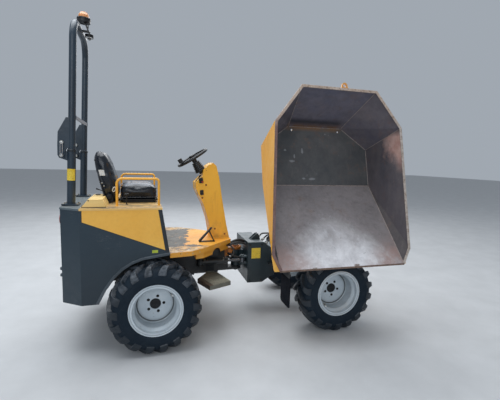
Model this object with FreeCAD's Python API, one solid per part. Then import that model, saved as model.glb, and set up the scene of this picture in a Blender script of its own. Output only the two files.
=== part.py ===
import FreeCAD, Part
import math, os
from FreeCAD import Vector as V

# Articulated swivel-skip site dumper, about 1.5 t class.  Millimetres.
# Machine frame while building: X forward along the rear frame, Y left, Z up,
# origin on the ground under the rear axle.  Everything is shifted by
# -ORIGIN_X, -ORIGIN_Y at the end so that the row's origin is the middle of
# the footprint.  The front frame has its own frame, origin on the ground
# under the front axle, turned by STEER_DEG about the centre joint.
os.makedirs("parts", exist_ok=True)

# ------------------------------------------------------------ main sizes
ORIGIN_X, ORIGIN_Y = 680.0, -151.0
WHEELBASE = 1671.0
STEER_DEG = -2.4                 # front frame turned slightly to the right
PIVOT_X = WHEELBASE / 2.0
WHEEL_R = 376.0                  # 10.0/75-15.3 lug tyre
AXLE_Z = WHEEL_R
HALF_TRACK = 560.0               # tyre centre plane
RIM_R = 212.5
BODY_HALF = 572.0                # rear body half width
BODY_Z0, BODY_Z1 = 431.0, 1174.0
BODY_REAR_X, CORNER_X, CORNER_Y = -702.0, -552.0, 457.0
PANEL_T = 25.0
DECK_T = 14.0
DECK_Z = BODY_Z1 + DECK_T
ARCH_R = 403.0
FOOT_Z0, FOOT_Z1 = 768.0, 808.0

# roll-over bar
POST_X, POST_Y, POST_R, POST_LEAN = -643.0, 332.0, 31.0, 2.12
HOOP_R = 27.0                    # the hoop is a thinner tube than the posts
HOOP_TOP = 1446.0                # crossbar centre above the deck, along the post
HOOP_BEND = 150.0
FOLD_PIN = (-67.0, 395.0)        # from the post's foot: back, up

# steering ram, plan positions from the centre joint
RAM_Z = 595.0
RAM_B = (-400.0, -170.0)
RAM_E = (30.0, -160.0)           # in the front frame, from the centre joint

# skip turntable and tipping gear; p = distance ahead of the slew axis
SLEW_X = -110.0                  # slew axis, from the front axle
TIP_P, TIP_Z = 500.0, 894.5      # tip pivot
TIP_DEG = 76.0
JACK_B = (-60.0, 800.0)          # tip ram foot
JACK_E = (529.7, 1046.2)         # tip ram eye, skip tipped
SKIP_T = 8.0
# skip corners in the tipped pose.  The mouth lies in one plane and the floor in
# another: name, half width, distance up the mouth from the lip
LIP_P, LIP_Z, MOUTH_LEAN = 940.0, 721.0, 9.34
MOUTH = [("lip", 580.0, 0.0), ("cheek", 642.0, 130.0), ("shoulder", 595.0, 1205.0), ("top", 355.0, 1517.0)]
# name, half width, distance up the floor from the ramp's crease
CREASE_P, CREASE_Z, FLOOR_LEAN = 367.0, 1360.0, 13.76
FLOOR = [("crease", 560.0, 0.0), ("corner", 560.0, 374.7), ("fold", 285.0, 585.0)]

# ------------------------------------------------------------ helpers
def wire(pts):
    """Closed wire of lines and arcs; a point with a 4th item is the middle of an arc."""
    edges, n, i = [], len(pts), 0
    P = [V(*p[:3]) for p in pts]
    while i < n:
        j = (i + 1) % n
        if len(pts[j]) > 3:
            k = (j + 1) % n
            edges.append(Part.Arc(P[i], P[j], P[k]).toShape())
            i += 2
        else:
            edges.append(Part.LineSegment(P[i], P[j]).toShape())
            i += 1
    return Part.Wire(edges)

def prism(pts, vec):
    return Part.Face(wire(pts)).extrude(V(*vec))

def xz(pts, y0, y1):
    return prism([(p[0], y0, p[1]) + tuple(p[2:]) for p in pts], (0, y1 - y0, 0))

def xy(pts, z0, z1):
    return prism([(p[0], p[1], z0) + tuple(p[2:]) for p in pts], (0, 0, z1 - z0))

def yz(pts, x0, x1):
    return prism([(x0, p[0], p[1]) + tuple(p[2:]) for p in pts], (x1 - x0, 0, 0))

def box(x0, x1, y0, y1, z0, z1):
    return Part.makeBox(x1 - x0, y1 - y0, z1 - z0, V(x0, y0, z0))

def rod(a, b, r):
    a, b = V(*a), V(*b)
    return Part.makeCylinder(r, (b - a).Length, a, b - a)

def fuse(*s):
    out = s[0].multiFuse(list(s[1:])) if len(s) > 1 else s[0]
    return out.removeSplitter()

def mirror_y(s):
    return s.mirror(V(0, 0, 0), V(0, 1, 0))

def tube_path(pts, radii, r, closed=False):
    """Round bar along straight runs joined by tangent arcs."""
    P = [V(*p) for p in pts]
    n = len(P)
    runs, idx = [], (range(n) if closed else range(1, n - 1))
    cut = {}
    for i in idx:
        a, b, c = P[i - 1], P[i], P[(i + 1) % n]
        u = (a - b).normalize(); w = (c - b).normalize()
        ang = u.getAngle(w)
        R = radii[i] if isinstance(radii, (list, tuple)) else radii
        d = R / math.tan(ang / 2.0)
        s, e = b + u * d, b + w * d
        bis = (u + w).normalize()
        m = b + bis * (R / math.sin(ang / 2.0) - R)
        cut[i] = (s, m, e)
    edges = []
    order = list(range(n)) if closed else list(range(n - 1))
    for i in order:
        j = (i + 1) % n
        a = cut[i][2] if i in cut else P[i]
        b = cut[j][0] if j in cut else P[j]
        if (b - a).Length > 1e-6:
            edges.append(Part.LineSegment(a, b).toShape())
        if j in cut:
            edges.append(Part.Arc(*cut[j]).toShape())
    w = Part.Wire(edges)
    if closed:
        half = len(edges) // 2
        wires = [Part.Wire(edges[:half]), Part.Wire(edges[half:])]
    else:
        wires = [w]
    out = []
    for q in wires:
        e0 = q.Edges[0]
        p0 = e0.valueAt(e0.FirstParameter)
        t0 = e0.tangentAt(e0.FirstParameter)
        prof = Part.Wire(Part.makeCircle(r, p0, t0))
        out.append(q.makePipeShell([prof], True, True))
    s = out[0]
    for o in out[1:]:
        s = s.fuse(o)
    return s

def poly_solid(verts, faces):
    fs = [Part.Face(Part.makePolygon([V(*verts[i]) for i in f] + [V(*verts[f[0]])])) for f in faces]
    return Part.Solid(Part.Shell(fs))

REAR = FreeCAD.Placement(V(-ORIGIN_X, -ORIGIN_Y, 0), FreeCAD.Rotation())
_c, _s = math.cos(math.radians(STEER_DEG)), math.sin(math.radians(STEER_DEG))
FRONT_O = V(PIVOT_X + PIVOT_X * _c, PIVOT_X * _s, 0)
FRONT = FreeCAD.Placement(V(FRONT_O.x - ORIGIN_X, FRONT_O.y - ORIGIN_Y, 0),
                          FreeCAD.Rotation(V(0, 0, 1), STEER_DEG))
NODES = {}

def put(name, shape, frame=REAR):
    solids = shape if isinstance(shape, list) else [shape]
    out = []
    for s in solids:
        s = s.copy()
        s.transformShape(frame.toMatrix(), True)
        out += s.Solids
    NODES[name] = out

# ------------------------------------------------------------ wheels
# w = towards the machine from the tyre's centre plane, r = radius
TYRE_OUT = [(-113.0, 196.0), (113.0, 196.0), (113.0, 214.5), (126.0, 222.0), (132.0, 268.0),
            (129.0, 312.0), (119.0, 346.0), (104.0, 366.0), (55.0, WHEEL_R), (-55.0, WHEEL_R),
            (-104.0, 366.0), (-119.0, 346.0), (-129.0, 312.0), (-132.0, 268.0), (-126.0, 222.0), (-113.0, 214.5)]
TYRE_IN = [(-98.0, 190.0), (98.0, 190.0), (98.0, 222.0), (113.0, 232.0), (116.0, 268.0),
           (112.0, 308.0), (98.0, 334.0), (-98.0, 334.0), (-112.0, 308.0), (-116.0, 268.0),
           (-113.0, 232.0), (-98.0, 222.0)]
RIM = [(-120.5, RIM_R), (-114.0, RIM_R), (-114.0, 194.5), (-86.0, 192.5), (-70.0, 172.0), (60.0, 172.0),
       (86.0, 192.5), (114.0, 194.5), (114.0, RIM_R), (120.5, RIM_R), (120.5, 187.0), (90.0, 185.0),
       (66.0, 165.0), (40.0, 165.0), (40.0, 88.0), (60.0, 84.0), (60.0, 40.06), (42.0, 40.06), (42.0, 0.0),
       (36.0, 0.0), (36.0, 47.0), (30.0, 47.0), (30.0, 148.0), (22.0, 160.0), (-64.0, 165.0), (-88.0, 185.0),
       (-120.5, 187.0)]

def spin(profile, side):
    y = lambda w: side * (HALF_TRACK - w)
    f = Part.Face(Part.makePolygon([V(0, y(w), r) for w, r in profile + profile[:1]]))
    s = f.revolve(V(0, 0, 0), V(0, 1, 0), 360)
    s.translate(V(0, 0, AXLE_Z))
    return s

def axle():
    parts = [box(-45, 45, -330, 330, AXLE_Z - 45, AXLE_Z + 45)]
    for side in (-1, 1):
        parts.append(rod((0, side * 300, AXLE_Z), (0, side * 516, AXLE_Z), 40.0))
        parts.append(rod((0, side * 325, AXLE_Z), (0, side * 392, AXLE_Z), 78.0))
        parts.append(box(-60, 60, min(side * 78, side * 142), max(side * 78, side * 142), AXLE_Z + 40, 470.0))
    return fuse(*parts)

# wheel name, frame, side (+1 left)
for nm, fr, side in (("rear_right", REAR, -1), ("rear_left", REAR, 1),
                     ("front_right", FRONT, -1), ("front_left", FRONT, 1)):
    put("tyre_" + nm, spin(TYRE_OUT, side).cut(spin(TYRE_IN, side)), fr)
    put("rim_" + nm, spin(RIM, side), fr)
put("rear_axle", axle(), REAR)
put("front_axle", axle(), FRONT)

# ------------------------------------------------------------ rear frame
ears = []
for z0 in (465.0, 672.0):
    ears.append(xy([(600, -60), (PIVOT_X, -55), (PIVOT_X + 55, 0, 1), (PIVOT_X, 55), (600, 60)], z0, z0 + 25))
chassis = fuse(box(-677, 380, -150, 150, 470, 700), box(379, 622, -116, 116, 470, 700),
               xy([(620, -60), (742, -52), (742, 52), (620, 60)], 470, 697), *ears,
               rod((PIVOT_X, 0, 446), (PIVOT_X, 0, 712), 20.0),
               rod((PIVOT_X, 0, 697), (PIVOT_X, 0, 709), 34.0),
               # bracket of the steering ram's foot
               *[xy([(400, -116), (410, -170), (RAM_B[0] + PIVOT_X, -195, 1), (462, -170), (472, -116)], z, z + 12)
                 for z in (RAM_Z - 42, RAM_Z + 30)],
               rod((PIVOT_X + RAM_B[0], RAM_B[1], RAM_Z - 48), (PIVOT_X + RAM_B[0], RAM_B[1], RAM_Z + 48), 12.0))
put("rear_chassis", chassis)
put("engine_block", box(-500, -60, -230, 230, 715, 1090))

# arch: radius about the axle, from the bottom lip to the footplate
arch = [(-430.0, 431.0), (-372.0, 545.0)]
for a in (151.0, 140.0, 128.0, 116.0, 104.0):
    arch.append((ARCH_R * math.cos(math.radians(a)), AXLE_Z + ARCH_R * math.sin(math.radians(a))))
arch.append((115.0, 797.0))
outer = [(CORNER_X, BODY_Z0)] + arch + [(53.0, BODY_Z1), (CORNER_X, BODY_Z1)]
def away(p, d):
    r = math.hypot(p[0], p[1] - AXLE_Z)
    return (p[0] * (r + d) / r, AXLE_Z + (p[1] - AXLE_Z) * (r + d) / r)
liner = arch + [away(p, 12.0) for p in reversed(arch)]
panel = fuse(xz(outer, -BODY_HALF, -BODY_HALF + PANEL_T), xz(liner, -BODY_HALF + 2, -330))
put("side_panel_right", panel)
put("side_panel_left", mirror_y(panel))
rear = [(CORNER_X, -BODY_HALF), (BODY_REAR_X, -CORNER_Y), (BODY_REAR_X, CORNER_Y), (CORNER_X, BODY_HALF),
        (CORNER_X, BODY_HALF - 27), (BODY_REAR_X + 25, CORNER_Y - 10), (BODY_REAR_X + 25, -CORNER_Y + 10),
        (CORNER_X, -BODY_HALF + 27)]
put("rear_panel", xy(rear, BODY_Z0, BODY_Z1))
deck = [(CORNER_X - 3, -BODY_HALF - 4), (BODY_REAR_X - 4, -CORNER_Y - 2), (BODY_REAR_X - 4, CORNER_Y + 2),
        (CORNER_X - 3, BODY_HALF + 4), (56, BODY_HALF + 4), (56, -BODY_HALF - 4)]
put("deck_plate", xy(deck, BODY_Z1, DECK_Z))
put("front_bulkhead", xz([(26, BODY_Z1), (52, BODY_Z1), (111, 815), (85, 815)], -BODY_HALF + PANEL_T, BODY_HALF - PANEL_T))
# cover behind the seat, off to the right-hand side, cut back where the seat's back stands
put("rear_hood", fuse(xz([(-549, DECK_Z), (-501, 1249), (-393, 1251), (-366, DECK_Z)], -500, -240),
                      xz([(-549, DECK_Z), (-501, 1249), (-420, 1250.5), (-414, DECK_Z)], -240, -64)))

# footplate with the deep member under it
foot = [(118, -560), (300, -535), (430, -440), (742, -138), (742, 138), (430, 440), (300, 535), (118, 560)]
# skirt under it, 8 mm plate, with a round notch on each slanted side
skirt = xy([(352, -420), (425, -398), (724, -112), (724, 112), (425, 398), (352, 420)], 703, FOOT_Z0 + 1)
skirt = skirt.cut(xy([(360, -409), (421, -388), (716, -108), (716, 108), (421, 388), (360, 409)], 690, FOOT_Z0))
skirt = skirt.cut(rod((575, -450, 700), (575, 450, 700), 50.0)).cut(box(340, 730, -100, 100, 690, 712))
put("footplate", fuse(xy(foot, FOOT_Z0, FOOT_Z1), skirt))
COLUMN = [(560, FOOT_Z1), (738, FOOT_Z1), (704, 938), (658, 1190), (624, 1407), (594, 1522), (562, 1551),
          (513, 1521), (475, 1482), (466, 1424), (399, 1358), (402, 1300), (429, 1240), (479, 1142), (531, 973)]
put("steering_pedestal", xz(COLUMN, -92, 92))
# narrow pedal: base strip, treadle leaning forward and a front link
put("foot_pedal", fuse(xz([(413, FOOT_Z1), (563, FOOT_Z1), (563, FOOT_Z1 + 8), (428, FOOT_Z1 + 8), (537, 941), (530, 948), (410, FOOT_Z1 + 12)], -230, -198),
                       xz([(512, 918), (561, FOOT_Z1 + 5), (551, FOOT_Z1 + 3), (503, 908)], -224, -204)))

# steps: skewed tread plate with folded edges, and a hanger welded to the chassis
STEP = [(463, -513), (674, -424), (606, -135), (503, -135), (388, -300)]
def inset(a, b, t):
    """Strip of width t along the inner side of the edge a-b."""
    d = (V(b[0], b[1], 0) - V(a[0], a[1], 0)).normalize()
    n = V(-d.y, d.x, 0) * t
    return [a, b, (b[0] + n.x, b[1] + n.y), (a[0] + n.x, a[1] + n.y)]
step = fuse(xy(STEP, 470, 479), *[xy(inset(STEP[k], STEP[(k + 1) % 5], 7), 440, 471) for k in (0, 1, 4)],
            box(500, 585, -141, -116, 470, 479), box(505, 580, -123, -116, 470, 575))
put("steps", [step, mirror_y(step)])

# tow jaw at the rear: two plates and a back plate
TOW_X, TOW_R = -762.0, 13.0
jaw = fuse(box(-716, BODY_REAR_X, -90, 90, 480, 610),
           *[xy([(-712, -55), (TOW_X, -42), (TOW_X - 42, 0, 1), (TOW_X, 42), (-712, 55)], z, z + 15) for z in (505.0, 565.0)])
put("tow_jaw", jaw.cut(rod((TOW_X, 0, 490), (TOW_X, 0, 600), TOW_R)))

# ------------------------------------------------------------ seat, rails
put("seat_mount", fuse(box(-250, 10, -185, 185, DECK_Z, 1214), xz([(-390, DECK_Z), (-300, DECK_Z), (-300, 1206), (-390, 1206)], -60, 60),
                       box(-310, -240, -40, 40, DECK_Z, 1204)))
def rounded(x0, x1, y0, y1, z0, z1, r):
    s = xy([(x0 + r, y0), (x1 - r, y0), (x1 - r * 0.293, y0 + r * 0.293, 1), (x1, y0 + r), (x1, y1 - r),
            (x1 - r * 0.293, y1 - r * 0.293, 1), (x1 - r, y1), (x0 + r, y1), (x0 + r * 0.293, y1 - r * 0.293, 1),
            (x0, y1 - r), (x0, y0 + r), (x0 + r * 0.293, y0 + r * 0.293, 1)], z0, z1)
    return s
put("seat_cushion", rounded(-288, 44, -236, 236, 1214, 1356, 60))
BACK = [(-394, 1206), (-470, 1520), (-484, 1612), (-462, 1644, 1), (-420, 1646), (-376, 1570), (-330, 1420), (-297, 1230), (-297, 1206)]
put("seat_back", xz(BACK, -218, 218))

def guard(y):
    z0, z1, x0, x1 = DECK_Z + 0.5, 1411.0, -293.0, 36.0
    return tube_path([(x0, y, z0), (x0, y, z1), (x1, y, z1), (x1, y, z0)], [0, 44, 26, 0], 10.0)
put("guard_rail_right", guard(-420.0))
put("guard_rail_left", guard(420.0))

# ------------------------------------------------------------ roll-over bar
LEAN = FreeCAD.Placement(V(POST_X, 0, DECK_Z), FreeCAD.Rotation(V(0, 1, 0), POST_LEAN))
def lean(s):
    s = s.copy(); s.transformShape(LEAN.toMatrix(), True); return s
SPLIT = 440.0
px, pz = FOLD_PIN
low = []
for side in (-1, 1):
    y = side * POST_Y
    low.append(fuse(box(-62, 62, y - 55, y + 55, 3, 14), rod((0, y, 3), (0, y, SPLIT), POST_R),
                    xz([(-20, 352), (px, pz - 26), (px - 26, pz, 1), (px, pz + 26), (-20, 432)], y - 11, y + 11),
                    rod((px, y - 34, pz), (px, y + 34, pz), 10.0)))
put("rops_posts", [lean(s) for s in low])
up = []
path = [(0, -POST_Y, SPLIT + 6), (0, -POST_Y, HOOP_TOP), (0, POST_Y, HOOP_TOP), (0, POST_Y, SPLIT + 6)]
up.append(tube_path(path, [0, HOOP_BEND, HOOP_BEND, 0], HOOP_R))
for side in (-1, 1):
    y = side * POST_Y
    # a pair of plates behind each tube, down to the fold pin
    for s2 in (-1, 1):
        y0, y1 = sorted((y + s2 * 14, y + s2 * 23))
        up.append(xz([(-12, 690), (-40, 690), (-96, 575), (-98, 470), (-96, 395), (-84, 374), (-62, 368), (-48, 382), (-43, 440), (-36, 452), (-12, 456)], y0, y1))
    up.append(xz([(-20, 640), (-58, 640), (-84, 574), (-84, 555), (-20, 555)], y - 15, y + 15))
up.append(box(17, 26, -POST_Y + 8, POST_Y - 8, 684, 712))
for side in (-1, 1):
    y = side * POST_Y
    up.append(rod((px, y - 34, 495), (px, y + 34, 495), 9.0))
hoop = fuse(*up)
for side in (-1, 1):
    y = side * POST_Y
    hoop = hoop.cut(rod((px, y - 40, pz), (px, y + 40, pz), 10.06))
put("rops_hoop", lean(hoop))
BEACON_X = 34.0
strap = xz([(37, HOOP_TOP + 68), (49, HOOP_TOP + 68), (92, HOOP_TOP - 30), (80, HOOP_TOP - 30)], -54, -26)
stand = fuse(strap, box(HOOP_R, 74, -54, -26, HOOP_TOP - 6, HOOP_TOP + 6),
             rod((BEACON_X, -40, HOOP_TOP + 66), (BEACON_X, -40, HOOP_TOP + 96), 52.0))
put("beacon_stand", lean(stand))
put("beacon_dome", lean(fuse(rod((BEACON_X, -40, HOOP_TOP + 96), (BEACON_X, -40, HOOP_TOP + 126), 41.0),
                             Part.makeCone(41, 26, 22, V(BEACON_X, -40, HOOP_TOP + 126), V(0, 0, 1)))))
# flat round lamp under the strap, with an eye below it
lamp = fuse(rod((78, -40, HOOP_TOP - 46), (78, -40, HOOP_TOP - 24), 32.0), rod((80, -46, HOOP_TOP - 55), (80, -34, HOOP_TOP - 55), 12.0))
put("work_lamp", lean(lamp.cut(rod((80, -50, HOOP_TOP - 57), (80, -30, HOOP_TOP - 57), 5.0)).cut(strap)))

# ------------------------------------------------------------ steering wheel
SW_C = V(377.5, 0, 1596.0)
SW_TILT = -32.9                  # axis leans back towards the driver
SW = FreeCAD.Placement(SW_C, FreeCAD.Rotation(V(0, 1, 0), SW_TILT))
def at_wheel(s):
    s = s.copy(); s.transformShape(SW.toMatrix(), True); return s
wheel = [Part.makeTorus(152, 13), Part.makeCylinder(34, 40, V(0, 0, -22)), ]
for a in (90, 210, 330):
    d = V(math.cos(math.radians(a)), math.sin(math.radians(a)), 0)
    wheel.append(Part.makeCylinder(9, 136, d * 14, d))
knob_d = V(math.cos(math.radians(215)), math.sin(math.radians(215)), 0)
wheel += [Part.makeCylinder(9, 34, knob_d * 152, V(0, 0, 1)), Part.makeCylinder(21, 38, knob_d * 152 + V(0, 0, 22), V(0, 0, 1))]
put("steering_wheel", at_wheel(fuse(*wheel)))
shaft = fuse(Part.makeCylinder(24, 150, V(0, 0, -173)), Part.makeCone(34, 50, 96, V(0, 0, -54), V(0, 0, -1)))
shaft = at_wheel(shaft).cut(xz(COLUMN, -92, 92))
put("steering_shaft", max(shaft.Solids, key=lambda s: s.Volume))

# ------------------------------------------------------------ rams
def ram(bx, by, ex, ey, length, barrel_len, piston_at, r_b, r_i, r_r, eye_r, half_w, pin_r):
    """Ram along X from a foot at the origin, pins along Y. Returns barrel, rod."""
    b = fuse(Part.makeCylinder(eye_r, 2 * half_w, V(0, -half_w, 0), V(0, 1, 0)),
             Part.makeCylinder(r_b, barrel_len - eye_r * 0.5, V(eye_r * 0.5, 0, 0), V(1, 0, 0)),
             Part.makeCylinder(r_b + 4, 26, V(barrel_len - 26, 0, 0), V(1, 0, 0)))
    b = b.cut(Part.makeCylinder(r_i, barrel_len - 20 - eye_r - 12, V(eye_r + 12, 0, 0), V(1, 0, 0)))
    b = b.cut(Part.makeCylinder(r_r + 0.06, 60, V(barrel_len - 40, 0, 0), V(1, 0, 0)))
    b = b.cut(Part.makeCylinder(pin_r + 0.06, 2 * half_w + 4, V(0, -half_w - 2, 0), V(0, 1, 0)))
    r = fuse(Part.makeCylinder(r_i - 0.06, 18, V(piston_at, 0, 0), V(1, 0, 0)),
             Part.makeCylinder(r_r, length - piston_at - eye_r * 0.5, V(piston_at, 0, 0), V(1, 0, 0)),
             Part.makeCylinder(eye_r, 2 * half_w, V(length, -half_w, 0), V(0, 1, 0)))
    r = r.cut(Part.makeCylinder(pin_r + 0.06, 2 * half_w + 4, V(length, -half_w - 2, 0), V(0, 1, 0)))
    return b, r

# steering ram lies flat: its pins are upright
ex = RAM_E[0] * _c - RAM_E[1] * _s
ey = RAM_E[0] * _s + RAM_E[1] * _c
dx, dy = ex - RAM_B[0], ey - RAM_B[1]
RAM_L = math.hypot(dx, dy)
b, r = ram(0, 0, 0, 0, RAM_L, 268.0, 128.0, 26.0, 20.0, 12.5, 25.0, 22.0, 12.0)
flat = FreeCAD.Placement(V(PIVOT_X + RAM_B[0], RAM_B[1], RAM_Z),
                         FreeCAD.Rotation(V(0, 0, 1), math.degrees(math.atan2(dy, dx))) * FreeCAD.Rotation(V(1, 0, 0), 90))
for nm, s in (("steering_ram_barrel", b), ("steering_ram_rod", r)):
    s = s.copy(); s.transformShape(flat.toMatrix(), True); put(nm, s)

# ------------------------------------------------------------ front frame
tower = xz([(-765, 783), (-603, 783), (-470, 640), (-465, 475), (-612, 378), (-765, 378)], -235, 235)
lug = fuse(rod((-PIVOT_X, 0, 500), (-PIVOT_X, 0, 662), 50.0), box(-PIVOT_X, -760, -40, 40, 500, 662))
eye = [xy([(-758, RAM_E[1] - 30), (-PIVOT_X + RAM_E[0], RAM_E[1] - 27), (-PIVOT_X + RAM_E[0] - 27, RAM_E[1], 1),
           (-PIVOT_X + RAM_E[0], RAM_E[1] + 27), (-758, RAM_E[1] + 30)], z, z + 12) for z in (RAM_Z - 40, RAM_Z + 28)]
front = fuse(tower, lug, box(-480, 215, -150, 150, 470, 690), *eye,
             rod((SLEW_X, 0, 685), (SLEW_X, 0, 735), 190.0), rod((SLEW_X, 0, 730), (SLEW_X, 0, 758), 60.0),
             rod((-PIVOT_X + RAM_E[0], RAM_E[1], RAM_Z + 36), (-PIVOT_X + RAM_E[0], RAM_E[1], RAM_Z + 50), 17.0),
             rod((-PIVOT_X + RAM_E[0], RAM_E[1], RAM_Z - 52), (-PIVOT_X + RAM_E[0], RAM_E[1], RAM_Z - 38), 17.0))
front = front.cut(rod((-PIVOT_X, 0, 490), (-PIVOT_X, 0, 670), 20.06))
# bracket on top of the box, two plates and a pin
for y in (-112, -62):
    front = front.fuse(xz([(-716, 782), (-607, 782), (-612, 806), (-630, 846), (-652, 842)], y, y + 10))
front = front.fuse(rod((-636, -112, 826), (-636, -52, 826), 9.0)).removeSplitter()
put("front_chassis", front, FRONT)
# hoses, both ends on the front frame: start on the box's slope, side, height, end
hoses = []
for x0, z0, y, top, x1 in ((-560.0, 736.8, -134.0, 786.0, -404.0), (-588.0, 766.9, -96.0, 824.0, -436.0), (-574.0, 751.8, 96.0, 800.0, -418.0)):
    run = (top - z0) * 0.733 / 0.682
    h = tube_path([(x0, y, z0), (x0 + run, y, top), (x1, y, top), (x1, y, 690)], [0, 42, 42, 0], 8.0)
    hoses.append(fuse(h, rod((x0, y, z0), (x0 + 16, y, z0 + 16 * 0.93), 11.5).cut(tower), rod((x1, y, 690), (x1, y, 714), 11.5)).cut(tower))
put("front_hoses", hoses, FRONT)
flap = yz([(-682, 590), (-682, 300), (-677, 282, 1), (-660, 275), (-500, 275), (-479, 284, 1), (-470, 305), (-470, 590)], -500, -490)
put("mudflaps", [flap, mirror_y(flap)], FRONT)
flap_arm = fuse(box(-514, -500, -690, -235, 560, 620), box(-560, -500, -300, -235, 560, 574))
put("flap_brackets", [flap_arm, mirror_y(flap_arm)], FRONT)

# ------------------------------------------------------------ turntable frame
# local: u across, p ahead of the slew axis; in the photo it points to the right-hand side
def up_(u, p, z):
    return (SLEW_X + u, -p, z)
def pz(pts, u0, u1):
    """Plate in the p-z plane from u0 to u1."""
    return prism([up_(u0, p[0], p[1]) + tuple(p[2:]) for p in pts], (u1 - u0, 0, 0))
def pin(u0, u1, p, z, r):
    return rod(up_(u0, p, z), up_(u1, p, z), r)
rails = []
for s in (-1, 1):
    u0, u1 = sorted((s * 120, s * 150))
    rails.append(pz([(-205, 766), (205, 766), (240, 776), (546, 776), (540, 896), (TIP_P, TIP_Z + 40, 1), (460, 896), (424, 845), (-205, 845)], u0, u1))
    u0, u1 = sorted((s * 36, s * 50))
    rails.append(pz([(-110, 764), (-10, 764), (-34, 802), (JACK_B[0], JACK_B[1] + 26, 1), (-86, 802)], u0, u1))
    u0, u1 = sorted((s * 118, s * 184))
    rails.append(pin(u0, u1, TIP_P, TIP_Z, 17.5))
slew = fuse(rod(up_(0, 0, 741), up_(0, 0, 766), 214.0), *rails, pin(-52, 52, JACK_B[0], JACK_B[1], 12.0),
            pz([(-200, 770), (-176, 770), (-176, 840), (-200, 840)], -121, 121),
            pz([(300, 782), (330, 782), (330, 800), (300, 800)], -121, 121))
slew = slew.cut(rod(up_(0, 0, 735), up_(0, 0, 762), 60.06))
put("turntable_frame", slew, FRONT)

jl = math.hypot(JACK_E[0] - JACK_B[0], JACK_E[1] - JACK_B[1])
ja = math.degrees(math.atan2(JACK_E[1] - JACK_B[1], JACK_E[0] - JACK_B[0]))
b, r = ram(0, 0, 0, 0, jl, 362.0, 308.0, 30.0, 23.5, 14.0, 25.0, 28.0, 12.0)
stand = FreeCAD.Placement(V(*up_(0, *JACK_B)), FreeCAD.Rotation(V(0, 0, 1), -90) * FreeCAD.Rotation(V(0, 1, 0), -ja))
for nm, s in (("tip_ram_barrel", b), ("tip_ram_rod", r)):
    s = s.copy(); s.transformShape(stand.toMatrix(), True); put(nm, s, FRONT)

# ------------------------------------------------------------ skip
SKIP = {}
for table, p0, z0, tilt in ((MOUTH, LIP_P, LIP_Z, MOUTH_LEAN), (FLOOR, CREASE_P, CREASE_Z, FLOOR_LEAN)):
    for nm, half, d in table:
        SKIP[nm] = (half, p0 - d * math.sin(math.radians(tilt)), z0 + d * math.cos(math.radians(tilt)))
names = ["lip", "cheek", "shoulder", "top", "crease", "corner", "fold"]
verts = [up_(SKIP[n][0], SKIP[n][1], SKIP[n][2]) for n in names] + [up_(-SKIP[n][0], SKIP[n][1], SKIP[n][2]) for n in names]
R = {n: i for i, n in enumerate(names)}
L = {n: i + 7 for i, n in enumerate(names)}
walls = [[R["lip"], L["lip"], L["crease"], R["crease"]],
         [R["crease"], L["crease"], L["corner"], R["corner"]],
         [R["corner"], L["corner"], L["fold"], R["fold"]],
         [R["fold"], L["fold"], L["top"], R["top"]]]
for S in (R, L):
    walls += [[S["lip"], S["crease"], S["cheek"]], [S["cheek"], S["crease"], S["shoulder"]],
              [S["shoulder"], S["crease"], S["corner"]], [S["shoulder"], S["corner"], S["fold"]], [S["shoulder"], S["fold"], S["top"]]]
rim = [R["lip"], R["cheek"], R["shoulder"], R["top"], L["top"], L["shoulder"], L["cheek"], L["lip"]]
mid = V(SLEW_X, -650, 1450)

def normal(face):
    a, b, c = (V(*verts[i]) for i in face[:3])
    n = (b - a).cross(c - a).normalize()
    return n if n.dot(a - mid) > 0 else n * -1

def solve3(A, y):
    det = lambda m: (m[0][0] * (m[1][1] * m[2][2] - m[1][2] * m[2][1]) - m[0][1] * (m[1][0] * m[2][2] - m[1][2] * m[2][0])
                     + m[0][2] * (m[1][0] * m[2][1] - m[1][1] * m[2][0]))
    D = det(A)
    return [det([[y[r] if c == k else A[r][c] for c in range(3)] for r in range(3)]) / D for k in range(3)]

def grown(t):
    """Corners moved so that every wall moves out by t and the mouth stays in its plane."""
    nm = normal(rim)
    out = []
    for i, v in enumerate(verts):
        rows = [(normal(f), t, 1.0) for f in walls if i in f]
        if i in rim:
            rows.append((nm, 0.0, 1000.0))
        A = [[1e-4 * (r == c) for c in range(3)] for r in range(3)]
        y = [0.0, 0.0, 0.0]
        for n, d, w in rows:
            c = (n.x, n.y, n.z)
            for r in range(3):
                y[r] += w * c[r] * d
                for k in range(3):
                    A[r][k] += w * c[r] * c[k]
        d = V(*solve3(A, y))
        if i in rim:
            d = d - nm * d.dot(nm)
        out.append(tuple(V(*v) + d))
    return out

core = poly_solid(verts, walls + [rim])
lip_face = Part.Face(Part.makePolygon([V(*verts[i]) for i in rim + rim[:1]]))
core = core.fuse(lip_face.extrude(normal(rim) * 25))
shell = poly_solid(grown(SKIP_T), walls + [rim]).cut(core)
# drain holes beside the fold
for u in (-250, 250):
    a = V(*up_(u, 236, 1893)); n = V(0, 364, 89).normalize()
    shell = shell.cut(Part.makeCylinder(8, 60, a - n * 30, n))
put("skip_shell", shell, FRONT)

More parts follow.
